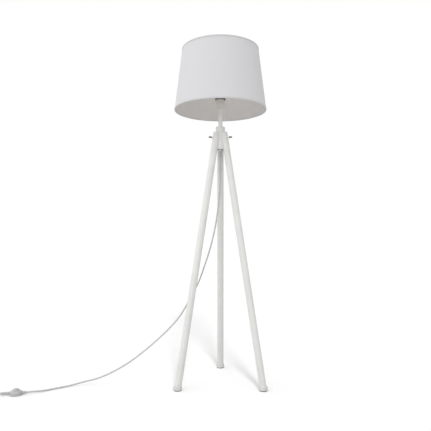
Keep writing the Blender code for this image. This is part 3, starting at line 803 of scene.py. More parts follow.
def softened(profile: Profile, radius: float, closed: bool, steps: int = 3) -> Profile:
    """Round a profile's corners.

    Args:
        profile: the profile's points.
        radius: how far from a corner its rounding starts, at most.
        closed: whether the last point joins the first.
        steps: points added at each corner.

    Returns:
        The longer profile.
    """
    count = len(profile)
    share = 0.45  # of a side that the rounding of one of its ends may take
    result: list[tuple[float, float]] = []
    for i, corner in enumerate(profile):
        if not closed and i in (0, count - 1):
            result.append(corner)
            continue
        here = Vector(corner)
        before, after = Vector(profile[i - 1]) - here, Vector(profile[(i + 1) % count]) - here
        start = here + before.normalized() * min(radius, before.length * share)
        end = here + after.normalized() * min(radius, after.length * share)
        for k in range(steps + 1):
            t = k / steps
            point = start * (1 - t) ** 2 + here * 2 * t * (1 - t) + end * t ** 2
            result.append((point.x, point.y))
    return result


def turned(name: str, profile: Profile, steps: int = 64, soften: float = 0.0,
           closed: bool = True, unit: float = MM) -> bpy.types.Mesh:
    """Turn a profile of (radius, height) about Z.

    Args:
        name: the mesh's name.
        profile: a closed loop, or a line that starts and ends on the axis.
        steps: how many steps make the full turn.
        soften: how far corners are rounded, in the profile's unit.
        closed: False for a profile that starts and ends on the axis.
        unit: metres for each unit of the profile.

    Returns:
        The mesh.
    """
    line = softened(profile, soften, closed) if soften else list(profile)
    points: list[Point] = []
    rings: list[list[int]] = []
    for radius, height in line:
        first = len(points)
        if radius < 1e-9:
            points.append((0.0, 0.0, height * unit))
            rings.append([first])
            continue
        for i in range(steps):
            angle = 2 * math.pi * i / steps
            points.append((radius * unit * math.cos(angle), radius * unit * math.sin(angle),
                           height * unit))
        rings.append(list(range(first, first + steps)))
    faces = []
    pairs = list(zip(rings, rings[1:])) + ([(rings[-1], rings[0])] if closed else [])
    for a, b in pairs:
        for i in range(steps):
            j = (i + 1) % steps
            face = [a[i % len(a)], a[j % len(a)], b[j % len(b)], b[i % len(b)]]
            face = list(dict.fromkeys(face))
            if len(face) > 2:
                faces.append(face)
    return mesh_of(name, points, faces)


def swept(name: str, points: Sequence[Vector], radius: float, sides: int = 14) -> bpy.types.Mesh:
    """A round tube along a chain of points, with closed ends and its own frame kept.

    Args:
        name: the mesh's name.
        points: the centreline.
        radius: the tube's radius.
        sides: how many sides it has.

    Returns:
        The mesh, with the LOCAL attribute already set along the tube.
    """
    tangents = [(points[min(i + 1, len(points) - 1)] - points[max(i - 1, 0)]).normalized()
                for i in range(len(points))]
    normal = tangents[0].orthogonal().normalized()
    corners: list[Vector] = []
    own: list[float] = []
    walked = 0.0
    for i, (point, tangent) in enumerate(zip(points, tangents)):
        if i:
            normal = (tangents[i - 1].rotation_difference(tangent) @ normal).normalized()
            walked += (point - points[i - 1]).length
        side = tangent.cross(normal)
        for k in range(sides):
            x = radius * math.cos(2 * math.pi * k / sides)
            y = radius * math.sin(2 * math.pi * k / sides)
            corners.append(point + normal * x + side * y)
            own.extend((x, y, walked))
    faces = [list(range(sides))]
    for i in range(len(points) - 1):
        for k in range(sides):
            j = (k + 1) % sides
            faces.append([i * sides + k, i * sides + j, (i + 1) * sides + j, (i + 1) * sides + k])
    faces.append(list(range((len(points) - 1) * sides, len(points) * sides)))
    mesh = bpy.data.meshes.new(name)
    mesh.from_pydata([tuple(c) for c in corners], [], faces)
    mesh.attributes.new(LOCAL, "FLOAT_VECTOR", "POINT").data.foreach_set("vector", own)
    return tidy(mesh, 0.0)


def lofted(name: str, sections: Sequence[Sequence[Vector]]) -> bpy.types.Mesh:
    """A closed skin over rings of equally many points.

    Args:
        name: the mesh's name.
        sections: the rings, from one end to the other.

    Returns:
        The mesh.
    """
    count = len(sections[0])
    points = [p for ring in sections for p in ring]
    faces = [list(range(count)), list(range(len(points) - count, len(points)))]
    for i in range(len(sections) - 1):
        for k in range(count):
            j = (k + 1) % count
            faces.append([i * count + k, i * count + j, (i + 1) * count + j, (i + 1) * count + k])
    return mesh_of(name, points, faces)


def box(name: str, low: Point, high: Point) -> bpy.types.Mesh:
    """A block, used as a cutter.

    Args:
        name: the mesh's name.
        low: its lowest corner.
        high: its highest corner.

    Returns:
        The mesh.
    """
    bm = bmesh.new()
    size, middle = Vector(high) - Vector(low), (Vector(high) + Vector(low)) / 2
    bmesh.ops.create_cube(bm, size=1.0, matrix=Matrix.Translation(middle)
                          @ Matrix.Diagonal((*size, 1.0)))
    mesh = bpy.data.meshes.new(name)
    bm.to_mesh(mesh)
    bm.free()
    return mesh


def rod(name: str, radius: float, low: float, high: float, steps: int = 64,
        soften: float = 0.0) -> bpy.types.Mesh:
    """A solid round bar along Z, in metres."""
    return turned(name, [(0.0, high), (radius, high), (radius, low), (0.0, low)], steps, soften,
                  closed=False, unit=1.0)


def carved(mesh: bpy.types.Mesh, *tools: tuple[bpy.types.Mesh, Matrix],
           operation: str = "DIFFERENCE") -> bpy.types.Mesh:
    """Cut a mesh with others.

    Args:
        mesh: the mesh to cut.
        tools: each cutter with its place in the mesh's frame.
        operation: the Boolean modifier's operation.

    Returns:
        A new mesh.
    """
    scene = bpy.context.scene.collection.objects
    obj = bpy.data.objects.new(mesh.name, mesh)
    scene.link(obj)
    cutters = []
    for tool, place in tools:
        cutter = bpy.data.objects.new(tool.name, tool)
        cutter.matrix_world = place
        scene.link(cutter)
        cutters.append(cutter)
        boolean = obj.modifiers.new("cut", "BOOLEAN")
        boolean.operation = operation
        boolean.solver = "EXACT"
        boolean.object = cutter
    result = flatten(obj)
    for used in (obj, *cutters):
        bpy.data.objects.remove(used, do_unlink=True)
    return tidy(result, 1e-6)


def joined(name: str, *meshes: bpy.types.Mesh) -> bpy.types.Mesh:
    """Several closed bodies as one mesh.

    Args:
        name: the mesh's name.
        meshes: the bodies.

    Returns:
        The mesh.
    """
    bm = bmesh.new()
    for mesh in meshes:
        bm.from_mesh(mesh)
    result = bpy.data.meshes.new(name)
    bm.to_mesh(result)
    bm.free()
    return result


def chart_round(mesh: bpy.types.Mesh, radius: float) -> None:
    """Give a turned mesh a WEAVE map in metres: round it and up it.

    Args:
        mesh: the mesh, round the Z axis.
        radius: the radius at which its round is measured.
    """
    layer = mesh.uv_layers.new(name=WEAVE)
    for polygon in mesh.polygons:
        first = None
        for loop in polygon.loop_indices:
            point = mesh.vertices[mesh.loops[loop].vertex_index].co
            angle = math.atan2(point.y, point.x)
            if first is None:
                first = angle
            while angle - first > math.pi:
                angle -= 2 * math.pi
            while angle - first < -math.pi:
                angle += 2 * math.pi
            layer.data[loop].uv = (angle * radius, point.z)


def publish(name: str, mesh: bpy.types.Mesh, slot: Slot, body: str = "frame",
            replaces: Sequence[str] = (), place: Matrix | None = None,
            crease: float = 38.0) -> bpy.types.Object:
    """Put a finished piece into the scene, dressed and riding on its body.

    Args:
        name: the piece's name.
        mesh: its mesh in its own frame.
        slot: its finish.
        body: the CAD body that carries it.
        replaces: the CAD nodes it stands for.
        place: where its own frame stands.
        crease: edges sharper than this many degrees stay sharp.

    Returns:
        The piece.
    """
    if LOCAL not in mesh.attributes:
        own = [value for vertex in mesh.vertices for value in vertex.co]
        mesh.attributes.new(LOCAL, "FLOAT_VECTOR", "POINT").data.foreach_set("vector", own)
    if place is not None:
        mesh.transform(place)
    mesh.shade_smooth()
    mesh.set_sharp_from_angle(angle=math.radians(crease))
    mesh.materials.clear()
    mesh.materials.append(Palette.of(slot))
    piece = bpy.data.objects.new(name, mesh)
    bpy.context.scene.collection.objects.link(piece)
    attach(piece, body)
    if replaces:
        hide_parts(*replaces)
    LOG.info("%s: %d faces, on %s", name, len(mesh.polygons), body)
    return piece


def smooth_route(points: Sequence[Sequence[float]], spacing: float) -> list[Vector]:
    """Evenly spaced points of a centripetal Catmull-Rom curve through a route.

    Args:
        points: the route.
        spacing: the wanted distance between points.

    Returns:
        The points, with the route's own ends.
    """
    route = [Vector(p) for p in points]
    route = [2 * route[0] - route[1]] + route + [2 * route[-1] - route[-2]]
    samples = 24  # between two points of the route
    dense: list[Vector] = []
    for i in range(1, len(route) - 2):
        p0, p1, p2, p3 = route[i - 1:i + 3]
        t1 = (p1 - p0).length ** 0.5
        t2 = t1 + (p2 - p1).length ** 0.5
        t3 = t2 + (p3 - p2).length ** 0.5
        for k in range(samples):
            t = t1 + (t2 - t1) * k / samples
            a1 = p0.lerp(p1, t / t1)
            a2 = p1.lerp(p2, (t - t1) / (t2 - t1))
            a3 = p2.lerp(p3, (t - t2) / (t3 - t2))
            dense.append(a1.lerp(a2, t / t2).lerp(a2.lerp(a3, (t - t1) / (t3 - t1)),
                                                  (t - t1) / (t2 - t1)))
    dense.append(route[-2])
    total = sum((b - a).length for a, b in zip(dense, dense[1:]))
    count = max(2, round(total / spacing))
    result, walked, wanted = [dense[0]], 0.0, total / count
    for a, b in zip(dense, dense[1:]):
        step = (b - a).length
        while walked + step >= wanted - 1e-9 and len(result) < count:
            result.append(a.lerp(b, (wanted - walked) / step))
            wanted += total / count
        walked += step
    return result + [dense[-1]]


# ---------------------------------------------------------------------------------------------
# Studio
# ---------------------------------------------------------------------------------------------


@dataclass
class Studio:
    """Camera, pale floor and soft light."""

    lens: float = 37.811
    camera_place: Point = (0.0, -2.0653, 0.7032)
    pitch: float = 91.380
    yaw: float = 0.6203
    floor_size: float = 60.0
    floor_drop: float = 0.1 * MM
    floor_seen: float = 0.78    # how white the floor is to the eye
    floor_bounce: float = 0.46  # and how much light it throws back up
    cloud_size: float = 0.8
    cloud_share: float = 0.02
    cloud_tone: float = 0.6
    sky: float = 1.0
    sky_left: float = 0.37
    sky_front: float = 0.36
    shadow_light: float = 1.9
    shadow_softness: float = 11.0
    shadow_from: Point = (0.27, -1.5, 1.0)

    def place_camera(self) -> None:
        """Stand the camera in front of the lamp."""
        data = bpy.data.cameras.new("camera")
        data.lens = self.lens
        data.clip_end = 200.0
        camera = bpy.data.objects.new("camera", data)
        camera.location = self.camera_place
        camera.rotation_euler = (math.radians(self.pitch), 0.0, math.radians(self.yaw))
        bpy.context.scene.collection.objects.link(camera)
        bpy.context.scene.camera = camera

    def lay_floor(self) -> None:
        """A plain pale floor just under the pads, which throws little light back up."""
        half = self.floor_size / 2
        mesh = bpy.data.meshes.new("floor")
        mesh.from_pydata([(-half, -half, -self.floor_drop), (half, -half, -self.floor_drop),
                          (half, half, -self.floor_drop), (-half, half, -self.floor_drop)], [],
                         [(0, 1, 2, 3)])
        look = Look("floor_paint", Roughness=0.9, Specular_IOR_Level=0.1)
        cloud = look.spread(look.noise(look.where(Space.OBJECT), self.cloud_size, 2.0), 0.0, 1.0)
        white = (1.0, 1.0, 1.0)
        seen = look.add("ShaderNodeLightPath").outputs["Is Camera Ray"]
        tone = look.blend(seen, rgba(white, self.floor_bounce), rgba(white, self.floor_seen))
        look.paint(look.blend(look.maths("MULTIPLY", cloud, self.cloud_share), tone,
                              rgba(white, self.cloud_tone)))
        mesh.materials.append(look.material)
        floor = bpy.data.objects.new("floor", mesh)
        bpy.context.scene.collection.objects.link(floor)

    def light(self) -> None:
        """A white surround, brighter on the left and in front of the lamp."""
        scene = bpy.context.scene
        scene.view_settings.view_transform = "Standard"
        scene.world = bpy.data.worlds.new("surround")
        scene.world.use_nodes = True
        writer = NodeWriter(scene.world.node_tree)
        surround = writer.tree.nodes["Background"]
        direction = writer.add("ShaderNodeTexCoord").outputs["Generated"]
        apart = writer.add("ShaderNodeSeparateXYZ", {0: direction}).outputs
        sideways = writer.maths("MULTIPLY_ADD", apart[0], -self.sky * self.sky_left, self.sky)
        strength = writer.maths("MULTIPLY_ADD", apart[1], -self.sky * self.sky_front, sideways)
        seen = writer.add("ShaderNodeLightPath").outputs["Is Camera Ray"]
        shown = writer.add("ShaderNodeMix", {0: seen, 2: strength, 3: 1.0}).outputs[0]
        surround.inputs["Color"].default_value = (1.0, 1.0, 1.0, 1.0)
        writer.feed(surround.inputs["Strength"], shown)

    def cast_shadows(self, casters: Sequence[bpy.types.Object]) -> None:
        """Light the floor alone, past the few pieces that throw soft shadows on it.

        Args:
            casters: the pieces that throw a shadow.
        """
        data = bpy.data.lights.new("shadow_light", "SUN")
        data.energy = self.shadow_light
        data.angle = math.radians(self.shadow_softness)
        sun = bpy.data.objects.new("shadow_light", data)
        sun.rotation_euler = Vector(self.shadow_from).to_track_quat("Z", "Y").to_euler()
        bpy.context.scene.collection.objects.link(sun)
        lit = bpy.data.collections.new("lit_by_shadow_light")
        lit.objects.link(bpy.data.objects["floor"])
        throwing = bpy.data.collections.new("throws_a_shadow")
        for piece in casters:
            throwing.objects.link(piece)
        sun.light_linking.receiver_collection = lit
        sun.light_linking.blocker_collection = throwing

    def build(self) -> None:
        """Set up the camera, the floor and the surround."""
        self.place_camera()
        self.lay_floor()
        self.light()
        LOG.info("studio ready")


# ---------------------------------------------------------------------------------------------
# Cord, switch and plug
# ---------------------------------------------------------------------------------------------


@dataclass
class FootSwitch:
    """An oval in-line switch on the floor: base, domed cover, round button, two boots.

    Sizes are in millimetres, but for the centre; profiles are (radius, height).
    """

    centre: Point = (-0.853, -0.170, 0.0)
    heading: float = 10.0
    half_length: float = 26.5
    half_width: float = 20.5
    pinch: float = 0.10
    cord_height: float = 10.0
    boot_lengths: tuple[float, float] = (16.0, 34.0)  # towards the lamp, towards the plug
    button_radius: float = 13.0
    opening_gap: float = 0.4
    boot_overlap: float = 1.2   # how far a boot's root is sunk into the housing
    rib_depth: float = 0.42
    rib_step: float = 2.1
    first_rib: float = 4.0      # from the boot's root
    spring_wire: float = 0.5
    spring_radius: float = 6.0
    spring_low: float = 3.5
    spring_high: float = 14.1
    spring_turns: int = 4
    spring_kept: float = 0.74   # its share of its height when the button is down

    BASE = [(0, 2.6), (17.6, 2.6), (18.8, 5.0), (18.8, 9.5), (20.1, 9.5), (20.1, 8.9),
            (20.5, 8.7), (20.5, 3.4), (19.9, 1.2), (18.6, 0.1), (0, 0.1)]
    COVER = [(9.0, 21.0), (13.6, 20.2), (17.5, 17.4), (19.6, 13.6), (20.4, 10.6), (20.1, 9.8),
             (18.8, 9.8), (18.2, 12.6), (16.3, 15.8), (13.0, 18.3), (9.0, 19.2)]
    BUTTON = [(0, 27.2), (3.2, 27.17), (6.0, 27.0), (6.4, 26.6), (6.8, 26.92), (9.0, 26.4),
              (9.4, 26.0), (9.8, 26.2), (11.4, 25.2), (12.5, 24.0), (13.0, 22.6), (13.0, 16.5),
              (14.4, 16.5), (14.4, 15.0), (0, 15.0)]

    @property
    def place(self) -> Matrix:
        """The switch's own frame: X along its length, the floor at z = 0."""
        return (Matrix.Translation(self.centre)
                @ Matrix.Rotation(math.radians(self.heading), 4, "Z"))

    def boot_length(self, side: int) -> float:
        """How long the boot is at one end, 1 towards the lamp and -1 towards the plug."""
        return self.boot_lengths[0 if side > 0 else 1]

    def cord_point(self, side: int, beyond: float = 0.6) -> Vector:
        """Where the cord meets the boot at one end.

        Args:
            side: 1 for the end towards the lamp, -1 for the other.
            beyond: how many millimetres past the boot's tip.

        Returns:
            The point in the row frame.
        """
        reach = self.half_length + self.boot_length(side) + beyond
        return self.place @ Vector((side * reach * MM, 0.0, self.cord_height * MM))

    def oval(self, mesh: bpy.types.Mesh) -> bpy.types.Mesh:
        """Stretch a turned mesh into the switch's pointed oval.

        Args:
            mesh: the round mesh, which is changed.

        Returns:
            The same mesh.
        """
        for vertex in mesh.vertices:
            along = vertex.co.x / (self.half_width * MM)
            vertex.co.x *= self.half_length / self.half_width
            vertex.co.y *= 1.0 - self.pinch * along * along
        return mesh

    def build_housing(self) -> list[bpy.types.Object]:
        """Build the base, and the cover with its round opening.

        Returns:
            The base and the cover.
        """
        base = turned("switch_base_shell", self.BASE, 96, 0.5, closed=False)
        cover = turned("switch_cover_shell", self.COVER, 96, 1.2)
        opening = rod("opening", (self.button_radius + self.opening_gap) * MM, 0.0, 0.04, 72)
        cover = carved(self.oval(cover), (opening, Matrix.Identity(4)))
        return [publish("switch_base_shell", self.oval(base), Slot.SWITCH_PLASTIC,
                        replaces=["switch_base"], place=self.place),
                publish("switch_cover_shell", cover, Slot.SWITCH_PLASTIC,
                        replaces=["switch_cover"], place=self.place)]

    def build_button(self) -> bpy.types.Object:
        """Build the domed button with two fine grip rings, on its own body.

        Returns:
            The button.
        """
        mesh = turned("switch_button_dome", self.BUTTON, 72, 0.35, closed=False)
        return publish("switch_button_dome", mesh, Slot.SWITCH_PLASTIC, "button_body",
                       ["switch_button"], self.place)

    def build_spring(self) -> bpy.types.Object:
        """Build the coil spring under the button.

        Returns:
            The spring.
        """
        per_turn = 24
        count = self.spring_turns * per_turn
        helix = []
        for i in range(count + 1):
            angle = 2 * math.pi * i / per_turn
            rise = self.spring_low + (self.spring_high - self.spring_low) * i / count
            helix.append(Vector((self.spring_radius * math.cos(angle),
                                 self.spring_radius * math.sin(angle), rise)) * MM)
        coil = swept("switch_coil_spring", helix, self.spring_wire * MM, 10)
        spring = publish("switch_coil_spring", coil, Slot.ZINC_STEEL,
                         replaces=["switch_spring"], place=self.place, crease=60.0)
        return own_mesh(spring)

    def build_boots(self) -> list[bpy.types.Object]:
        """Build a tapered, ribbed boot at each end.

        Returns:
            The two boots.
        """
        boots = []
        start = self.half_length - self.boot_overlap
        for name, side in (("switch_boot_in", 1), ("switch_boot_out", -1)):
            length = self.boot_length(side)
            end = self.half_length + 0.3 + length
            taper = turned(name, [(0, end), (3.9, end), (4.1, end - 0.3), (6.2, start),
                                  (0, start)], 32, 0.3, closed=False)
            count = round((length - 3.4) / self.rib_step)
            ribs = Growth.ribs().grow(name, Slot.SWITCH_PLASTIC, count=count,
                                      start=(start + self.first_rib) * MM,
                                      step=self.rib_step * MM,
                                      first_radius=5.75 * MM, last_radius=4.4 * MM,
                                      depth=self.rib_depth * MM)
            place = (self.place @ Matrix.Translation((0, 0, self.cord_height * MM))
                     @ Matrix.Rotation(side * math.radians(90), 4, "Y"))
            boots.append(publish(name + "_relief", joined(name, taper, ribs),
                                 Slot.SWITCH_PLASTIC, replaces=[name], place=place))
        return boots

    def build(self) -> list[bpy.types.Object]:
        """Build the switch.

        Returns:
            Its pieces, which all go with the cord.
        """
        return [*self.build_housing(), self.build_button(), self.build_spring(),
                *self.build_boots()]


@dataclass
class MainsPlug:
    """A flat two-pin plug with a tapered boot, lying beside the coil; in millimetres."""

    rear: Point = (-1.0417, -0.2880, 0.0069)
    length: float = 36.0
    half_width: float = 13.0
    half_height: float = 6.6
    boot_length: float = 21.5
    pin_spacing: float = 19.0
    pin_length: float = 18.5
    waist_half_width: float = 6.7
    waist_half_height: float = 5.3
    flare_start: float = 6.0    # from the rear
    flare_length: float = 20.0
    grip_start: float = 7.0
    grip_end: float = 20.5
    grip_pitch: float = 2.25
    grip_depth: float = 0.35
    rounding: float = 1.5
    squareness: float = 3.6     # the power of the section's super-ellipse

    @property
    def place(self) -> Matrix:
        """The plug's own frame: Z from its rear towards its pins."""
        return Matrix.Translation(self.rear) @ Matrix.Rotation(math.radians(90), 4, "X")

    def build_body(self) -> bpy.types.Object:
        """Build a moulded body that widens towards the pins, with grip ridges on its waist.

        Returns:
            The body.
        """
        sides, power = 48, 2.0 / self.squareness
        sections = []
        stations = [0.0, 0.5, 1.5] + [3.0 + 0.75 * i for i in range(39)] + [33.4, 34.6, 35.5, 36.0]
        for along in stations:
            share = max(0.0, min(1.0, (along - self.flare_start) / self.flare_length))
            ease = share * share * (3 - 2 * share)
            width = self.waist_half_width + (self.half_width - self.waist_half_width) * ease
            height = self.waist_half_height + (self.half_height - self.waist_half_height) * ease
            if self.grip_start <= along <= self.grip_end:
                phase = (along - self.grip_start) * 2 * math.pi / self.grip_pitch
                width -= self.grip_depth * (0.5 - 0.5 * math.cos(phase))
            inset = max(0.0, self.rounding - min(along, self.length - along))
            shrink = self.rounding - math.sqrt(max(0.0, self.rounding ** 2 - inset ** 2))
            ring = []
            for i in range(sides):
                angle = 2 * math.pi * i / sides
                c, s = math.cos(angle), math.sin(angle)
                ring.append(Vector(((width - shrink) * MM * math.copysign(abs(c) ** power, c),
                                    (height - shrink) * MM * math.copysign(abs(s) ** power, s),
                                    along * MM)))
            sections.append(ring)
        return publish("plug_body_shell", lofted("plug_body_shell", sections),
                       Slot.SWITCH_PLASTIC, replaces=["plug_body"], place=self.place)

    def build_pins(self) -> list[bpy.types.Object]:
        """Build two round pins, each with an insulating sleeve next to the body.

        Returns:
            Both pins and their sleeves.
        """
        pieces = []
        tip = self.length + self.pin_length
        for name, side in (("left", -1), ("right", 1)):
            place = self.place @ Matrix.Translation((side * self.pin_spacing / 2 * MM, 0, 0))
            pin = turned("pin", [(0, tip), (1.1, tip), (1.7, tip - 0.7), (1.9, tip - 1.8),
                                 (1.9, self.length - 3.0), (0, self.length - 3.0)], 28, 0.4,
                         closed=False)
            sleeve = turned("sleeve", [(1.7, self.length + 9.5), (2.0, self.length + 9.3),
                                       (2.0, self.length - 2.0), (1.7, self.length - 2.0)], 28)
            pieces.append(publish(f"plug_pin_{name}_rod", pin, Slot.ZINC_STEEL,
                                  replaces=["plug_pin_" + name], place=place))
            pieces.append(publish(f"plug_pin_{name}_sleeve", sleeve, Slot.SWITCH_PLASTIC,
                                  place=place))
        return pieces

    def build_boot(self) -> bpy.types.Object:
        """Build the ribbed taper where the cord enters.

        Returns:
            The boot.
        """
        end = -self.boot_length
        taper = turned("plug_boot", [(0, 1.0), (5.2, 1.0), (5.2, -0.6), (4.1, end + 0.4),
                                     (3.9, end), (0, end)], 32, 0.3, closed=False)
        ribs = Growth.ribs().grow("plug_boot", Slot.SWITCH_PLASTIC, count=8, start=-3.0 * MM,
                                  step=-2.2 * MM, first_radius=5.0 * MM, last_radius=4.2 * MM,
                                  depth=0.42 * MM)
        return publish("plug_boot_relief", joined("plug_boot", taper, ribs),
                       Slot.SWITCH_PLASTIC, replaces=["plug_boot"], place=self.place)

    def build(self) -> list[bpy.types.Object]:
        """Build the plug.

        Returns:
            Its pieces, which all go with the cord.
        """
        return [self.build_body(), *self.build_pins(), self.build_boot()]


@dataclass
class LampCord:
    """The free cord: from the hub to the switch, and from there by a tied coil to the plug."""

    radius: float = 3.5 * MM
    spacing: float = 5.0 * MM
    gland_mouth: Point = (0.0, 0.0, 1.0200)
    coil_centre: tuple[float, float] = (-1.000, -0.2047)
    outer_lane: float = 41.7 * MM
    inner_lane: float = 34.3 * MM
    low_layer: float = 3.7 * MM
    high_layer: float = 10.9 * MM
    coil_start: float = 90.0        # azimuth of the coil's first point in degrees
    tie_azimuth: float = -20.0
    length_to_switch: float = 1.525
    length_to_plug: float = 0.93

    UPPER_ROUTE = [
        (0.0, 0.0, 1.0240), (0.0, 0.0, 0.985), (-0.0008, 0.0, 0.930), (-0.003, -0.0005, 0.870),
        (-0.0075, -0.001, 0.810), (-0.012, -0.0015, 0.775), (-0.019, -0.002, 0.726),
        (-0.030, -0.003, 0.671), (-0.0434, -0.004, 0.616), (-0.0689, -0.006, 0.534),
        (-0.0974, -0.008, 0.455), (-0.1265, -0.010, 0.398), (-0.1885, -0.014, 0.292),
        (-0.2925, -0.018, 0.186), (-0.428, -0.023, 0.082), (-0.537, -0.0366, 0.030),
        (-0.604, -0.044, 0.014), (-0.660, -0.070, 0.0058), (-0.711, -0.1010, 0.0042),
        (-0.7400, -0.1220, 0.0046), (-0.7640, -0.1390, 0.0062), (-0.7840, -0.1508, 0.0086),
        (-0.7980, -0.1585, 0.0099), (-0.8066, -0.1618, 0.0100),
    ]
    LOWER_ROUTE = [
        (-0.9172, -0.1810, 0.0097), (-0.9245, -0.1810, 0.0085), (-0.9335, -0.1789, 0.0064),
        (-0.9435, -0.1742, 0.0045), (-0.9535, -0.1692, 0.0038), (-0.9635, -0.1652, 0.0037),
        (-0.9743, -0.1631, 0.0037),
    ]
    TAIL_ROUTE = [
        (-1.0417, -0.2180, 0.0105), (-1.0417, -0.2290, 0.0092), (-1.0417, -0.2400, 0.0077),
        (-1.0417, -0.2530, 0.0070), (-1.0417, -0.2640, 0.0069), (-1.0417, -0.2700, 0.0069),
    ]
    # The coil's turns: the angle walked in degrees, the lane (0 outer, 1 inner), the layer
    # (0 low, 1 high).
    WINDING = [(0, 0, 0), (235, 0, 0), (365, 1, 0), (570, 1, 0), (660, 1, 1), (890, 1, 1),
               (1010, 0, 1), (1170, 0, 1)]

    def coil_points(self) -> list[Vector]:
        """Lay three and a quarter turns, side by side and in two layers.

        Returns:
            A point for every 12 degrees.
        """
        points = []
        for walked in range(12, 1165, 12):
            for (a0, lane0, layer0), (a1, lane1, layer1) in zip(self.WINDING, self.WINDING[1:]):
                if a0 <= walked <= a1:
                    share = (walked - a0) / (a1 - a0)
                    share = share * share * (3 - 2 * share)
                    lane = lane0 + (lane1 - lane0) * share
                    layer = layer0 + (layer1 - layer0) * share
                    break
            radius = self.outer_lane + (self.inner_lane - self.outer_lane) * lane
            angle = math.radians(self.coil_start + walked)
            points.append(Vector((self.coil_centre[0] + radius * math.cos(angle),
                                  self.coil_centre[1] + radius * math.sin(angle),
                                  self.low_layer + (self.high_layer - self.low_layer) * layer)))
        return points

    def build_tie(self) -> bpy.types.Object:
        """Build a soft strap round the coil's bundle, thick on top and thin underneath.

        Returns:
            The strap.
        """
        middle, height = 38.0, 7.35             # of the bundle's section, in millimetres
        half_width, half_height, roundness = 7.7, 7.15, 0.55
        edges = ((-4.0, 0.5), (-3.6, 0.8), (3.6, 0.8), (4.0, 0.5))  # across the strap, thickness
        steps = 40
        points = []
        for across, thick in edges:
            for grow, lowest in ((0.0, 0.18), (thick, 0.04)):
                for i in range(steps):
                    angle = 2 * math.pi * i / steps
                    c, s = math.cos(angle), math.sin(angle)
                    x = middle + (half_width + grow) * math.copysign(abs(c) ** roundness, c)
                    z = height + (half_height + grow) * math.copysign(abs(s) ** roundness, s)
                    points.append(Vector((x, across, max(z, lowest))) * MM)
        count = 2 * steps
        last = (len(edges) - 1) * count
        # Each strip of faces: where its first ring starts, and how far on its second one does.
        strips = [(row + layer, count) for row in range(0, last, count) for layer in (0, steps)]
        strips += [(0, steps), (last, steps)]
        faces = []
        for first, on in strips:
            for i in range(steps):
                a, b = first + i, first + (i + 1) % steps
                faces.append([a, b, b + on, a + on])
        mesh = mesh_of("cord_tie", points, faces)
        place = (Matrix.Translation((*self.coil_centre, 0.0))
                 @ Matrix.Rotation(math.radians(self.tie_azimuth), 4, "Z"))
        return publish("cord_tie", mesh, Slot.RING_PLASTIC, place=place)

    def build(self, switch: FootSwitch, switch_pieces: list[bpy.types.Object],
              plug_pieces: list[bpy.types.Object]) -> None:
        """Args:
            switch: the switch that they meet.
            switch_pieces: its pieces; not used.
            plug_pieces: the plug's pieces; not used.
        """
        upper = smooth_route(self.UPPER_ROUTE + [switch.cord_point(1),
                                                 switch.cord_point(1, -3.0)], self.spacing)
        first = publish("cord_to_switch", swept("cord_to_switch", upper, self.radius),
                        Slot.CORD_PVC, replaces=["cord_upper"], crease=60.0)
        route = ([switch.cord_point(-1, -3.0), switch.cord_point(-1)] + self.LOWER_ROUTE
                 + self.coil_points() + self.TAIL_ROUTE)
        lower = smooth_route(route, self.spacing)
        second = publish("cord_to_plug", swept("cord_to_plug", lower, self.radius),
                         Slot.CORD_PVC, replaces=["cord_lower", "cord_coil", "cord_tail"],
                         crease=60.0)
        tuple(switch.cord_point(-1))
        self.build_tie()


# ---------------------------------------------------------------------------------------------
# Base
# ---------------------------------------------------------------------------------------------


@dataclass
class Dowel:
    """Where a leg stands, shared by the legs, their feet, the hub and its saddles."""

    radius: float = 15.0 * MM
    reach_at_floor: float = 213.3 * MM
    slope: float = 0.1713
    bottom: float = 7.5 * MM
    top: float = 1132.0 * MM
    flat_radial: float = 11.0 * MM
    bolt_height: float = 1.107
    bolt_hole: float = 2.4 * MM

    @property
    def lean(self) -> float:
        """The angle between a leg and the vertical."""
        return math.atan(self.slope)

    @property
    def length(self) -> float:
        """The dowel's length."""
        return (self.top - self.bottom) / math.cos(self.lean)

    @property
    def place(self) -> Matrix:
        """The leg's own frame inside its station.

        Returns:
            The place, with Z up along the leg.
        """
        radial = self.reach_at_floor - self.slope * self.bottom
        return (Matrix.Translation((radial, 0.0, self.bottom))
                @ Matrix.Rotation(-self.lean, 4, "Y"))

    @property
    def bolt(self) -> Matrix:
        """The stud's frame inside its station: Z outwards from the stem."""
        return (Matrix.Translation((0.0, 0.0, self.bolt_height))
                @ Matrix.Rotation(math.radians(90), 4, "Y"))

    def blank(self, extra: float, low: float, high: float, flat: float,
              rounding: float) -> bpy.types.Mesh:
        """A dowel in its own frame, flattened on its inner side near the top.

        Args:
            extra: how much thicker than a leg.
            low: where it starts along the leg.
            high: where it ends.
            flat: radial distance of the flat from the stem.
            rounding: how far the rounding of its ends reaches.

        Returns:
            The mesh.
        """
        bar = rod("dowel", self.radius + extra, low, high, 72, rounding)
        inner_side = box("inner_side", (-0.05, -0.04, 1.0), (flat, 0.04, 1.25))
        return carved(bar, (inner_side, self.place.inverted()))


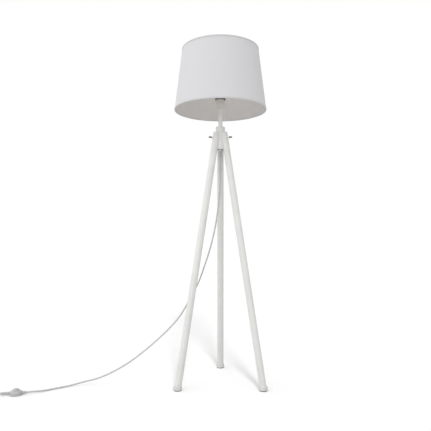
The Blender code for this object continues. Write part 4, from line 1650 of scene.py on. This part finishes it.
@dataclass
class Legs:
    """Three painted dowels, each in a foot cap on a thin pad; the feet are in millimetres."""

    dowel: Dowel
    foot_radial: float = 212.3
    end_rounding: float = 4.0 * MM

    CAP = [(0, 18.0), (17.8, 18.0), (18.5, 16.8), (18.5, 3.6), (17.7, 2.8), (0, 2.8)]
    PAD = [(0, 2.5), (17.0, 2.5), (17.0, 0.3), (16.6, 0.0), (13.0, 0.0), (12.6, 0.5), (9.0, 0.5),
           (8.6, 0.0), (0, 0.0)]

    def build_leg(self, station: Station) -> None:
        """Build one leg with its bolt hole.

        Args:
            station: the leg's place.
        """
        mesh = self.dowel.blank(0.0, 0.0, self.dowel.length, self.dowel.flat_radial,
                                self.end_rounding)
        hole = rod("hole", self.dowel.bolt_hole, 0.0, 0.07, 28)
        mesh = carved(mesh, (hole, self.dowel.place.inverted() @ self.dowel.bolt))
        publish("leg_dowel_" + station.label, mesh, Slot.WHITE_WOOD,
                replaces=["leg_" + station.label], place=station.turn @ self.dowel.place)

    def build_foot(self, station: Station) -> None:
        """Build the cap round a leg's end, and the pad that it stands on.

        Args:
            station: the leg's place.
        """
        cap = turned("foot_cap", self.CAP, 80, 0.8, closed=False)
        spot = Matrix.Translation((self.foot_radial * MM, 0.0, 0.0))
        socket = rod("socket", self.dowel.radius + GAP, -GAP, 0.06, 72)
        cap = carved(cap, (socket, spot.inverted() @ self.dowel.place))
        pad = turned("foot_pad", self.PAD, 72, 0.2, closed=False)
        place = station.turn @ spot
        publish("foot_socket_" + station.label, cap, Slot.FOOT_PLASTIC,
                replaces=["foot_cap_" + station.label], place=place)
        publish("foot_grip_" + station.label, pad, Slot.PAD_RUBBER,
                replaces=["foot_pad_" + station.label], place=place)

    def build(self) -> None:
        """Build the three legs and their feet."""
        for station in Station:
            self.build_leg(station)
            self.build_foot(station)


@dataclass
class Hub:
    """The turned block that the legs lean into, with its studs, nuts, washer and gland.

    Sizes are in millimetres; a fastener's are measured outwards from the stem.
    """

    dowel: Dowel
    radius: float = 21.0
    bottom: float = 1054.0
    top: float = 1158.0
    counterbore_top: float = 1130.0
    nut_start: float = 47.3
    nut_end: float = 59.5
    nut_radius: float = 3.7
    stud_radius: float = 2.0
    saddle_radius: float = 4.8
    saddle_face: float = 47.0
    stud_start: float = 5.6
    stud_end: float = 60.5
    thread_pitch: float = 1.0
    thread_depth: float = 0.38
    knurl_count: int = 22
    knurl_depth: float = 0.40
    knurl_offset: float = 3.6   # of each knurled band from the nut's middle

    WASHER = [(5.3, 1053.7), (16.0, 1053.7), (16.0, 1052.2), (5.3, 1052.2)]
    HEXAGON = [(0, 1051.9), (8.1, 1051.9), (8.1, 1046.5), (0, 1046.5)]
    CHAMFER = [(0, 1051.9), (7.3, 1051.9), (8.3, 1051.2), (8.3, 1047.2), (7.3, 1046.5),
               (0, 1046.5)]
    GLAND = [(3.9, 1045.2), (6.6, 1045.2), (7.0, 1044.6), (7.0, 1041.8), (5.6, 1040.2),
             (4.6, 1020.8), (3.9, 1020.2)]

    def build_block(self) -> None:
        """The hub with a groove and a cross hole for each leg."""
        block = turned("hub_block", [
            (5.3, self.top), (19.2, self.top), (20.5, self.top - 0.6),
            (self.radius, self.top - 2.0), (self.radius, self.bottom + 1.2),
            (20.0, self.bottom), (8.3, self.bottom), (8.3, self.counterbore_top),
            (5.3, self.counterbore_top)], 120, 0.8)
        groove = self.dowel.blank(GAP, 0.9, self.dowel.length + GAP,
                                  self.dowel.flat_radial - GAP, 1.5 * MM)
        hole = rod("hole", self.dowel.bolt_hole, 0.004, 0.03, 28)
        tools = []
        for station in Station:
            tools.append((groove.copy(), station.turn @ self.dowel.place))
            tools.append((hole.copy(), station.turn @ self.dowel.bolt))
        publish("hub_block", carved(block, *tools), Slot.WHITE_WOOD, replaces=["hub"],
                crease=30.0)

    def build_fasteners(self, station: Station) -> None:
        """Build a leg's stud on the frame, and its saddle washer and knurled thumb nut, each on its
        own body.

        Args:
            station: the leg's place.
        """
        place = station.turn @ self.dowel.bolt
        name = station.label
        root = self.stud_radius - 0.4
        core = turned("stud", [(0, self.stud_end), (root - 0.5, self.stud_end),
                               (root, self.stud_end - 0.8), (root, self.stud_start),
                               (0, self.stud_start)], 28, 0.25, closed=False)
        thread = Growth.thread().grow("stud_thread", Slot.DARK_STEEL, radius=root * MM,
                                      pitch=self.thread_pitch * MM, turns=53.0,
                                      start=(self.stud_start + 0.6) * MM,
                                      depth=self.thread_depth * MM, steps=20)
        publish("stud_rod_" + name, joined("stud", core, thread), Slot.DARK_STEEL,
                replaces=["stud_" + name], place=place, crease=25.0)
        bore, rim, face = self.stud_radius + 0.3, self.saddle_radius, self.saddle_face
        saddle = turned("saddle", [(bore, face), (rim - 0.4, face), (rim, face - 0.4),
                                   (rim, 30.0), (bore, 30.0)], 56, 0.3)
        seat = rod("seat", self.dowel.radius + GAP, 0.9, 1.3, 72)
        saddle = carved(saddle, (seat, self.dowel.bolt.inverted() @ self.dowel.place))
        publish("saddle_washer_" + name, saddle, Slot.WHITE_METAL, "saddle_body_" + name,
                ["saddle_" + name], place)
        middle, half = (self.nut_start + self.nut_end) / 2, (self.nut_end - self.nut_start) / 2
        land = self.nut_radius - 0.35
        barrel = turned("nut", [
            (bore, self.nut_end), (land - 0.4, self.nut_end), (land, self.nut_end - 0.4),
            (land, middle + 1.2), (land - 0.4, middle + 0.9), (land - 0.4, middle - 0.9),
            (land, middle - 1.2), (land, self.nut_start + 0.4), (land - 0.4, self.nut_start),
            (bore, self.nut_start)], 54, 0.15)
        bands = [Growth.knurl().grow("nut_knurl", Slot.DARK_STEEL, radius=(land - 0.05) * MM,
                                     count=self.knurl_count, length=(half - 2.0) * MM,
                                     middle=(middle + side * self.knurl_offset) * MM,
                                     depth=self.knurl_depth * MM) for side in (-1, 1)]
        publish("thumb_nut_grip_" + name, joined("nut", barrel, *bands), Slot.DARK_STEEL,
                "nut_body_" + name, ["thumb_nut_" + name], place, crease=25.0)

    def build_underside(self) -> None:
        """Washer, hex nut and the ribbed gland that the cord hangs out of."""
        washer = turned("bottom_washer_disc", self.WASHER, 72, 0.3)
        publish("bottom_washer_disc", washer, Slot.ZINC_STEEL, replaces=["bottom_washer"])
        hexagon = turned("hex", self.HEXAGON, 6, closed=False)
        barrel = turned("chamfer", self.CHAMFER, 48, closed=False)
        hexagon = carved(hexagon, (barrel, Matrix.Identity(4)), operation="INTERSECT")
        bore = rod("bore", 5.3 * MM, 1.04, 1.06, 40)
        publish("bottom_nut_hex", carved(hexagon, (bore, Matrix.Identity(4))), Slot.ZINC_STEEL,
                replaces=["bottom_nut"])
        relief = turned("gland", self.GLAND, 48, 0.4)
        ribs = Growth.ribs().grow("gland_ribs", Slot.SWITCH_PLASTIC, count=8, start=1.0374,
                                  step=-2.0 * MM, first_radius=5.4 * MM, last_radius=4.72 * MM,
                                  depth=0.45 * MM)
        grip = Growth.knurl().grow("gland_grip", Slot.SWITCH_PLASTIC, radius=6.85 * MM, count=24,
                                   length=2.4 * MM, middle=1.0432, depth=0.35 * MM)
        publish("cord_gland_relief", joined("gland", relief, ribs, grip), Slot.SWITCH_PLASTIC,
                replaces=["cord_gland"])

    def build(self) -> None:
        """Build the hub and everything fastened to it."""
        self.build_block()
        for station in Station:
            self.build_fasteners(station)
        self.build_underside()


# ---------------------------------------------------------------------------------------------
# Stem, lampholder and bulb
# ---------------------------------------------------------------------------------------------


@dataclass
class LampHead:
    """Stem sleeve, lampholder with its threaded shell and rings, and the globe bulb.

    Sizes are in millimetres, heights from the floor.
    """

    thread_radius: float = 18.85
    thread_pitch: float = 2.6
    thread_turns: float = 9.6
    thread_start: float = 1274.0
    thread_depth: float = 0.62
    grip_radius: float = 19.4
    grip_middle: float = 1269.2
    grip_length: float = 4.2
    grip_depth: float = 0.4
    ring_bore: float = 19.9
    ring_radius: float = 23.1
    globe_middle: float = 1356.0
    globe_radius: float = 30.0
    neck_radius: float = 29.2

    # Piece, CAD node, finish, rounding, whether the profile is a closed loop, and the profile.
    TURNED = [
        ("stem_tube", "stem_sleeve", Slot.WHITE_METAL, 0.35, True,
         [(8.3, 1247.7), (9.5, 1247.7), (9.5, 1158.3), (8.3, 1158.3)]),
        ("holder_dome", "holder_cap", Slot.HOLDER_PLASTIC, 0.9, True,
         [(19.5, 1266.0), (19.5, 1262.0), (18.6, 1256.6), (15.8, 1251.7), (12.2, 1248.5),
          (10.6, 1248.0), (5.3, 1248.0), (5.3, 1256.0), (8.5, 1256.0), (8.5, 1250.6),
          (11.4, 1250.5), (14.4, 1253.2), (16.9, 1257.6), (17.8, 1262.4), (17.8, 1266.0)]),
        ("holder_core", "holder_insert", Slot.HOLDER_CERAMIC, 0.5, True,
         [(17.4, 1299.0), (17.4, 1268.0), (2.5, 1268.0), (2.5, 1271.0), (14.9, 1271.0),
          (14.9, 1299.0)]),
        ("fitter_washer", "fitter_ring", Slot.WHITE_METAL, 0.4, True,
         [(20.4, 1294.1), (24.5, 1294.1), (24.5, 1292.3), (20.4, 1292.3)]),
        ("bulb_collar", "bulb_base", Slot.BULB_PLASTIC, 1.6, False,
         [(0, 1335.5), (28.4, 1335.5), (29.0, 1334.6), (28.3, 1330.0), (25.6, 1321.5),
          (20.6, 1311.5), (16.0, 1304.5), (15.2, 1301.3), (0, 1301.3)]),
    ]

    SHELL = [(19.0, 1300.0), (19.0, 1272.6), (19.5, 1272.2), (19.5, 1266.3), (17.8, 1266.3),
             (17.8, 1300.0)]
    RINGS = {"lower": (1282.6, 1292.0), "upper": (1294.4, 1298.0)}

    def build_shell(self) -> None:
        """The threaded outer shell, with grip ribs on its plain band."""
        wall = turned("shell", self.SHELL, 96, 0.25)
        thread = Growth.thread().grow("shell_thread", Slot.HOLDER_PLASTIC,
                                      radius=self.thread_radius * MM,
                                      pitch=self.thread_pitch * MM, turns=self.thread_turns,
                                      start=self.thread_start * MM,
                                      depth=self.thread_depth * MM, steps=72)
        grip = Growth.knurl().grow("shell_grip", Slot.HOLDER_PLASTIC,
                                   radius=self.grip_radius * MM, count=56,
                                   length=self.grip_length * MM, middle=self.grip_middle * MM,
                                   depth=self.grip_depth * MM)
        publish("holder_threaded_shell", joined("shell", wall, thread, grip),
                Slot.HOLDER_PLASTIC, replaces=["holder_shell"])

    def build_rings(self) -> None:
        """Two dark rings with grip ridges, below and above the shade's fitter."""
        for name, (low, high) in self.RINGS.items():
            bore, rim = self.ring_bore, self.ring_radius
            body = turned("ring", [(bore, high), (rim - 0.4, high), (rim, high - 0.5),
                                   (rim, low + 0.5), (rim - 0.4, low), (bore, low)], 96, 0.3)
            ridges = Growth.knurl().grow("ring_grip", Slot.RING_PLASTIC,
                                         radius=(rim - 0.15) * MM, count=48,
                                         length=(high - low - 0.8) * MM,
                                         middle=(high + low) / 2 * MM, depth=0.5 * MM)
            publish(f"shade_ring_{name}_grip", joined("ring", body, ridges), Slot.RING_PLASTIC,
                    replaces=["shade_ring_" + name], crease=25.0)

    def build_globe(self) -> None:
        """The opal globe: a sphere that widens into a short neck over its base."""
        middle, radius, neck, step = self.globe_middle, self.globe_radius, self.neck_radius, 4.1
        profile = [(0.0, middle + radius)]
        for i in range(1, 25):
            angle = math.radians(90 - i * step)
            profile.append((radius * math.cos(angle), middle + radius * math.sin(angle)))
        profile += [(neck, 1346.0), (neck, 1337.0), (neck - 0.3, 1335.8), (0.0, 1335.8)]
        publish("bulb_opal_globe", turned("globe", profile, 72, 0.3, closed=False),
                Slot.BULB_GLOBE, replaces=["bulb_globe"], crease=50.0)

    def build(self) -> None:
        """Build the stem, the holder and the bulb."""
        for name, node, slot, soften, closed, profile in self.TURNED:
            publish(name, turned(name, profile, 84, soften, closed), slot, replaces=[node])
        self.build_shell()
        self.build_rings()
        self.build_globe()


# ---------------------------------------------------------------------------------------------
# Shade
# ---------------------------------------------------------------------------------------------


@dataclass
class Shade:
    """A tapered drum of woven cloth on a stiff liner, hemmed over a wire at each rim."""

    bottom: float = 1233.5 * MM
    top: float = 1513.3 * MM
    bottom_radius: float = 209.2 * MM
    top_radius: float = 174.7 * MM
    skin: float = 0.8 * MM
    hem: float = 0.6 * MM
    hem_height: float = 7.0 * MM
    wire: float = 1.5 * MM
    fitter: float = 1293.2 * MM
    segments: int = 256
    cloth: tuple[float, float] = (1.28, 0.385)
    cloth_area: float = 0.338
    seam_azimuth: float = 97.0

    # The lap's section, in millimetres: along the cover, and outwards from it.
    LAP = [(-4.6, 0.0), (-4.2, 0.42), (0.0, 0.5), (4.2, 0.5), (4.6, 0.42), (4.6, -0.2),
           (0.0, -0.2), (-4.6, -0.2)]

    @property
    def edge(self) -> float:
        """How far inside the hem a skin ends."""
        return self.hem + GAP

    @property
    def wire_inset(self) -> float:
        """From the cover's outer side to the middle of a wire ring."""
        return 2 * self.skin + 2 * GAP + self.wire

    @property
    def wire_rise(self) -> float:
        """From a rim to the middle of its wire ring."""
        return self.edge + self.wire

    def radius(self, height: float) -> float:
        """The cover's outer radius at a height."""
        share = (height - self.bottom) / (self.top - self.bottom)
        return self.bottom_radius + share * (self.top_radius - self.bottom_radius)

    def wall(self, name: str, inset: float, slot: Slot, waviness: float) -> bpy.types.Mesh:
        """One skin of the drum.

        Args:
            name: the mesh's name.
            inset: from the cover's outer side to this skin's.
            slot: its finish.
            waviness: how strongly the cloth waves.

        Returns:
            A closed thin shell.
        """
        low, high = self.bottom + self.edge, self.top - self.edge
        side = Growth.drum().grow(name, slot, bottom_radius=self.radius(low) - inset,
                                  top_radius=self.radius(high) - inset, bottom=low, top=high,
                                  segments=self.segments, rows=24, waviness=waviness, seed=3.0)
        bm = bmesh.new()
        bm.from_mesh(side)
        if sum(f.normal.dot(f.calc_center_median() * Vector((1, 1, 0))) for f in bm.faces) < 0:
            bmesh.ops.reverse_faces(bm, faces=bm.faces)
        bm.to_mesh(side)
        bm.free()
        obj = bpy.data.objects.new(name, side)
        bpy.context.scene.collection.objects.link(obj)
        solid = obj.modifiers.new("thickness", "SOLIDIFY")
        solid.thickness = self.skin
        solid.offset = -1.0
        mesh = flatten(obj)
        bpy.data.objects.remove(obj, do_unlink=True)
        chart_round(mesh, (self.bottom_radius + self.top_radius) / 2)
        return mesh

    def build_hem(self, name: str, rim: float, up: int) -> bpy.types.Object:
        """A strip folded round a rim, over the wire.

        Args:
            name: the CAD node it stands for.
            rim: the rim's height.
            up: 1 at the bottom rim, -1 at the top one.

        Returns:
            The piece.
        """
        inner = self.wire_inset + self.wire + 0.1 * MM + GAP

        def at(offset: float, rise: float) -> tuple[float, float]:
            """A point of the strip's section, by its offset outwards and its rise."""
            height = rim + up * rise
            return self.radius(height) + offset, height

        section = [at(GAP + self.hem, self.hem_height), at(GAP + self.hem, 0.0),
                   at(-inner - self.hem, 0.0), at(-inner - self.hem, self.wire_rise),
                   at(-inner, self.wire_rise), at(-inner, self.hem), at(GAP, self.hem),
                   at(GAP, self.hem_height)]
        mesh = turned(name, section, self.segments, 0.25 * MM, unit=1.0)
        chart_round(mesh, self.radius(rim))
        return publish(name + "_strip", mesh, Slot.HEM_FABRIC, replaces=[name])

    def build_seam(self) -> bpy.types.Object:
        """Build the cover's vertical lap at the back, a narrow strip of the same cloth.

        Returns:
            The strip.
        """
        rows = 24
        low, high = self.bottom + self.hem_height + 0.2 * MM, self.top - self.hem_height - 0.2 * MM
        sections = []
        for i in range(rows + 1):
            height = low + (high - low) * i / rows
            ring = []
            for along, lift in self.LAP:
                reach = self.radius(height) + lift * MM
                turn = math.radians(self.seam_azimuth) + along * MM / self.radius(height)
                ring.append(Vector((reach * math.cos(turn), reach * math.sin(turn), height)))
            sections.append(ring)
        mesh = lofted("shade_seam", sections)
        chart_round(mesh, (self.bottom_radius + self.top_radius) / 2)
        return publish("shade_seam", mesh, Slot.SHADE_FABRIC)

    def build_wires(self) -> None:
        """The two wire rings and the three arms of the fitter."""
        for name, height in (("bottom", self.bottom + self.wire_rise),
                             ("top", self.top - self.wire_rise)):
            middle = self.radius(height) - self.wire_inset - 0.1 * MM
            circle = [(middle + self.wire * math.cos(a), height + self.wire * math.sin(a))
                      for a in (2 * math.pi * i / 12 for i in range(12))]
            publish(f"wire_hoop_{name}", turned(name, circle, self.segments, unit=1.0),
                    Slot.WHITE_METAL, replaces=["wire_ring_" + name], crease=60.0)
        wire_height = self.bottom + self.wire_rise
        end = self.radius(wire_height) - self.wire_inset - 1.0 * MM
        end_height = wire_height + self.wire + GAP
        route = [(0.0249, 0, self.fitter), (0.034, 0, self.fitter), (0.050, 0, 1.2895),
                 (0.120, 0, 1.2680), (0.185, 0, 1.2480), (0.1995, 0, 1.2428),
                 (end - 0.0007, 0, end_height + 0.0026), (end, 0, end_height)]
        for station in Station:
            arm = swept("arm", smooth_route(route, 2.5 * MM), self.wire, 14)
            publish("arm_wire_" + station.label, arm, Slot.WHITE_METAL,
                    replaces=["spider_arm_" + station.label], place=station.turn, crease=60.0)

    def build(self) -> None:
        """Build the shade."""
        liner = publish("liner_sheet", self.wall("liner_sheet", self.skin + GAP,
                                                 Slot.SHADE_LINER, 0.0),
                        Slot.SHADE_LINER, replaces=["shade_liner"])
        cover = publish("cover_cloth", self.wall("cover_cloth", 0.0, Slot.SHADE_FABRIC,
                                                 0.8 * MM),
                        Slot.SHADE_FABRIC, replaces=["shade_cover"])
        hems = [self.build_hem("hem_bottom", self.bottom, 1),
                self.build_hem("hem_top", self.top, -1)]
        self.build_seam()
        self.build_wires()


class HiddenParts:
    """CAD nodes whose shape is kept: they sit inside others and only need their finish."""

    KEPT = {
        "core_sleeve": Slot.ZINC_STEEL, "tie_tube": Slot.ZINC_STEEL,
        "inner_cord": Slot.CORD_PVC, "holder_thread": Slot.CONTACT_BRASS,
        "centre_contact": Slot.CONTACT_BRASS, "bulb_cap": Slot.BULB_METAL,
    }

    def dress(self) -> None:
        """Give each kept node its slot's material."""
        for name, slot in self.KEPT.items():
            node = frame["nodes"][name]
            node.data.materials.clear()
            node.data.materials.append(Palette.of(slot))
            LOG.info("%s: kept from the frame", name)


def main() -> None:
    """Build the lamp: camera and cord first, then the base, the head and the shade."""
    logging.basicConfig(level=logging.INFO, format="%(name)s: %(message)s")
    studio = Studio()
    studio.build()
    switch = FootSwitch()
    LampCord().build(switch, switch.build(), MainsPlug().build())
    dowel = Dowel()
    Legs(dowel).build()
    Hub(dowel).build()
    LampHead().build()
    Shade().build()
    HiddenParts().dress()
    studio.cast_shadows([piece for piece in bpy.context.scene.objects
                         if piece.name.startswith(("leg_dowel", "foot_", "switch_"))
                         and piece.name not in frame["nodes"]])


if __name__ == "__main__":
    main()
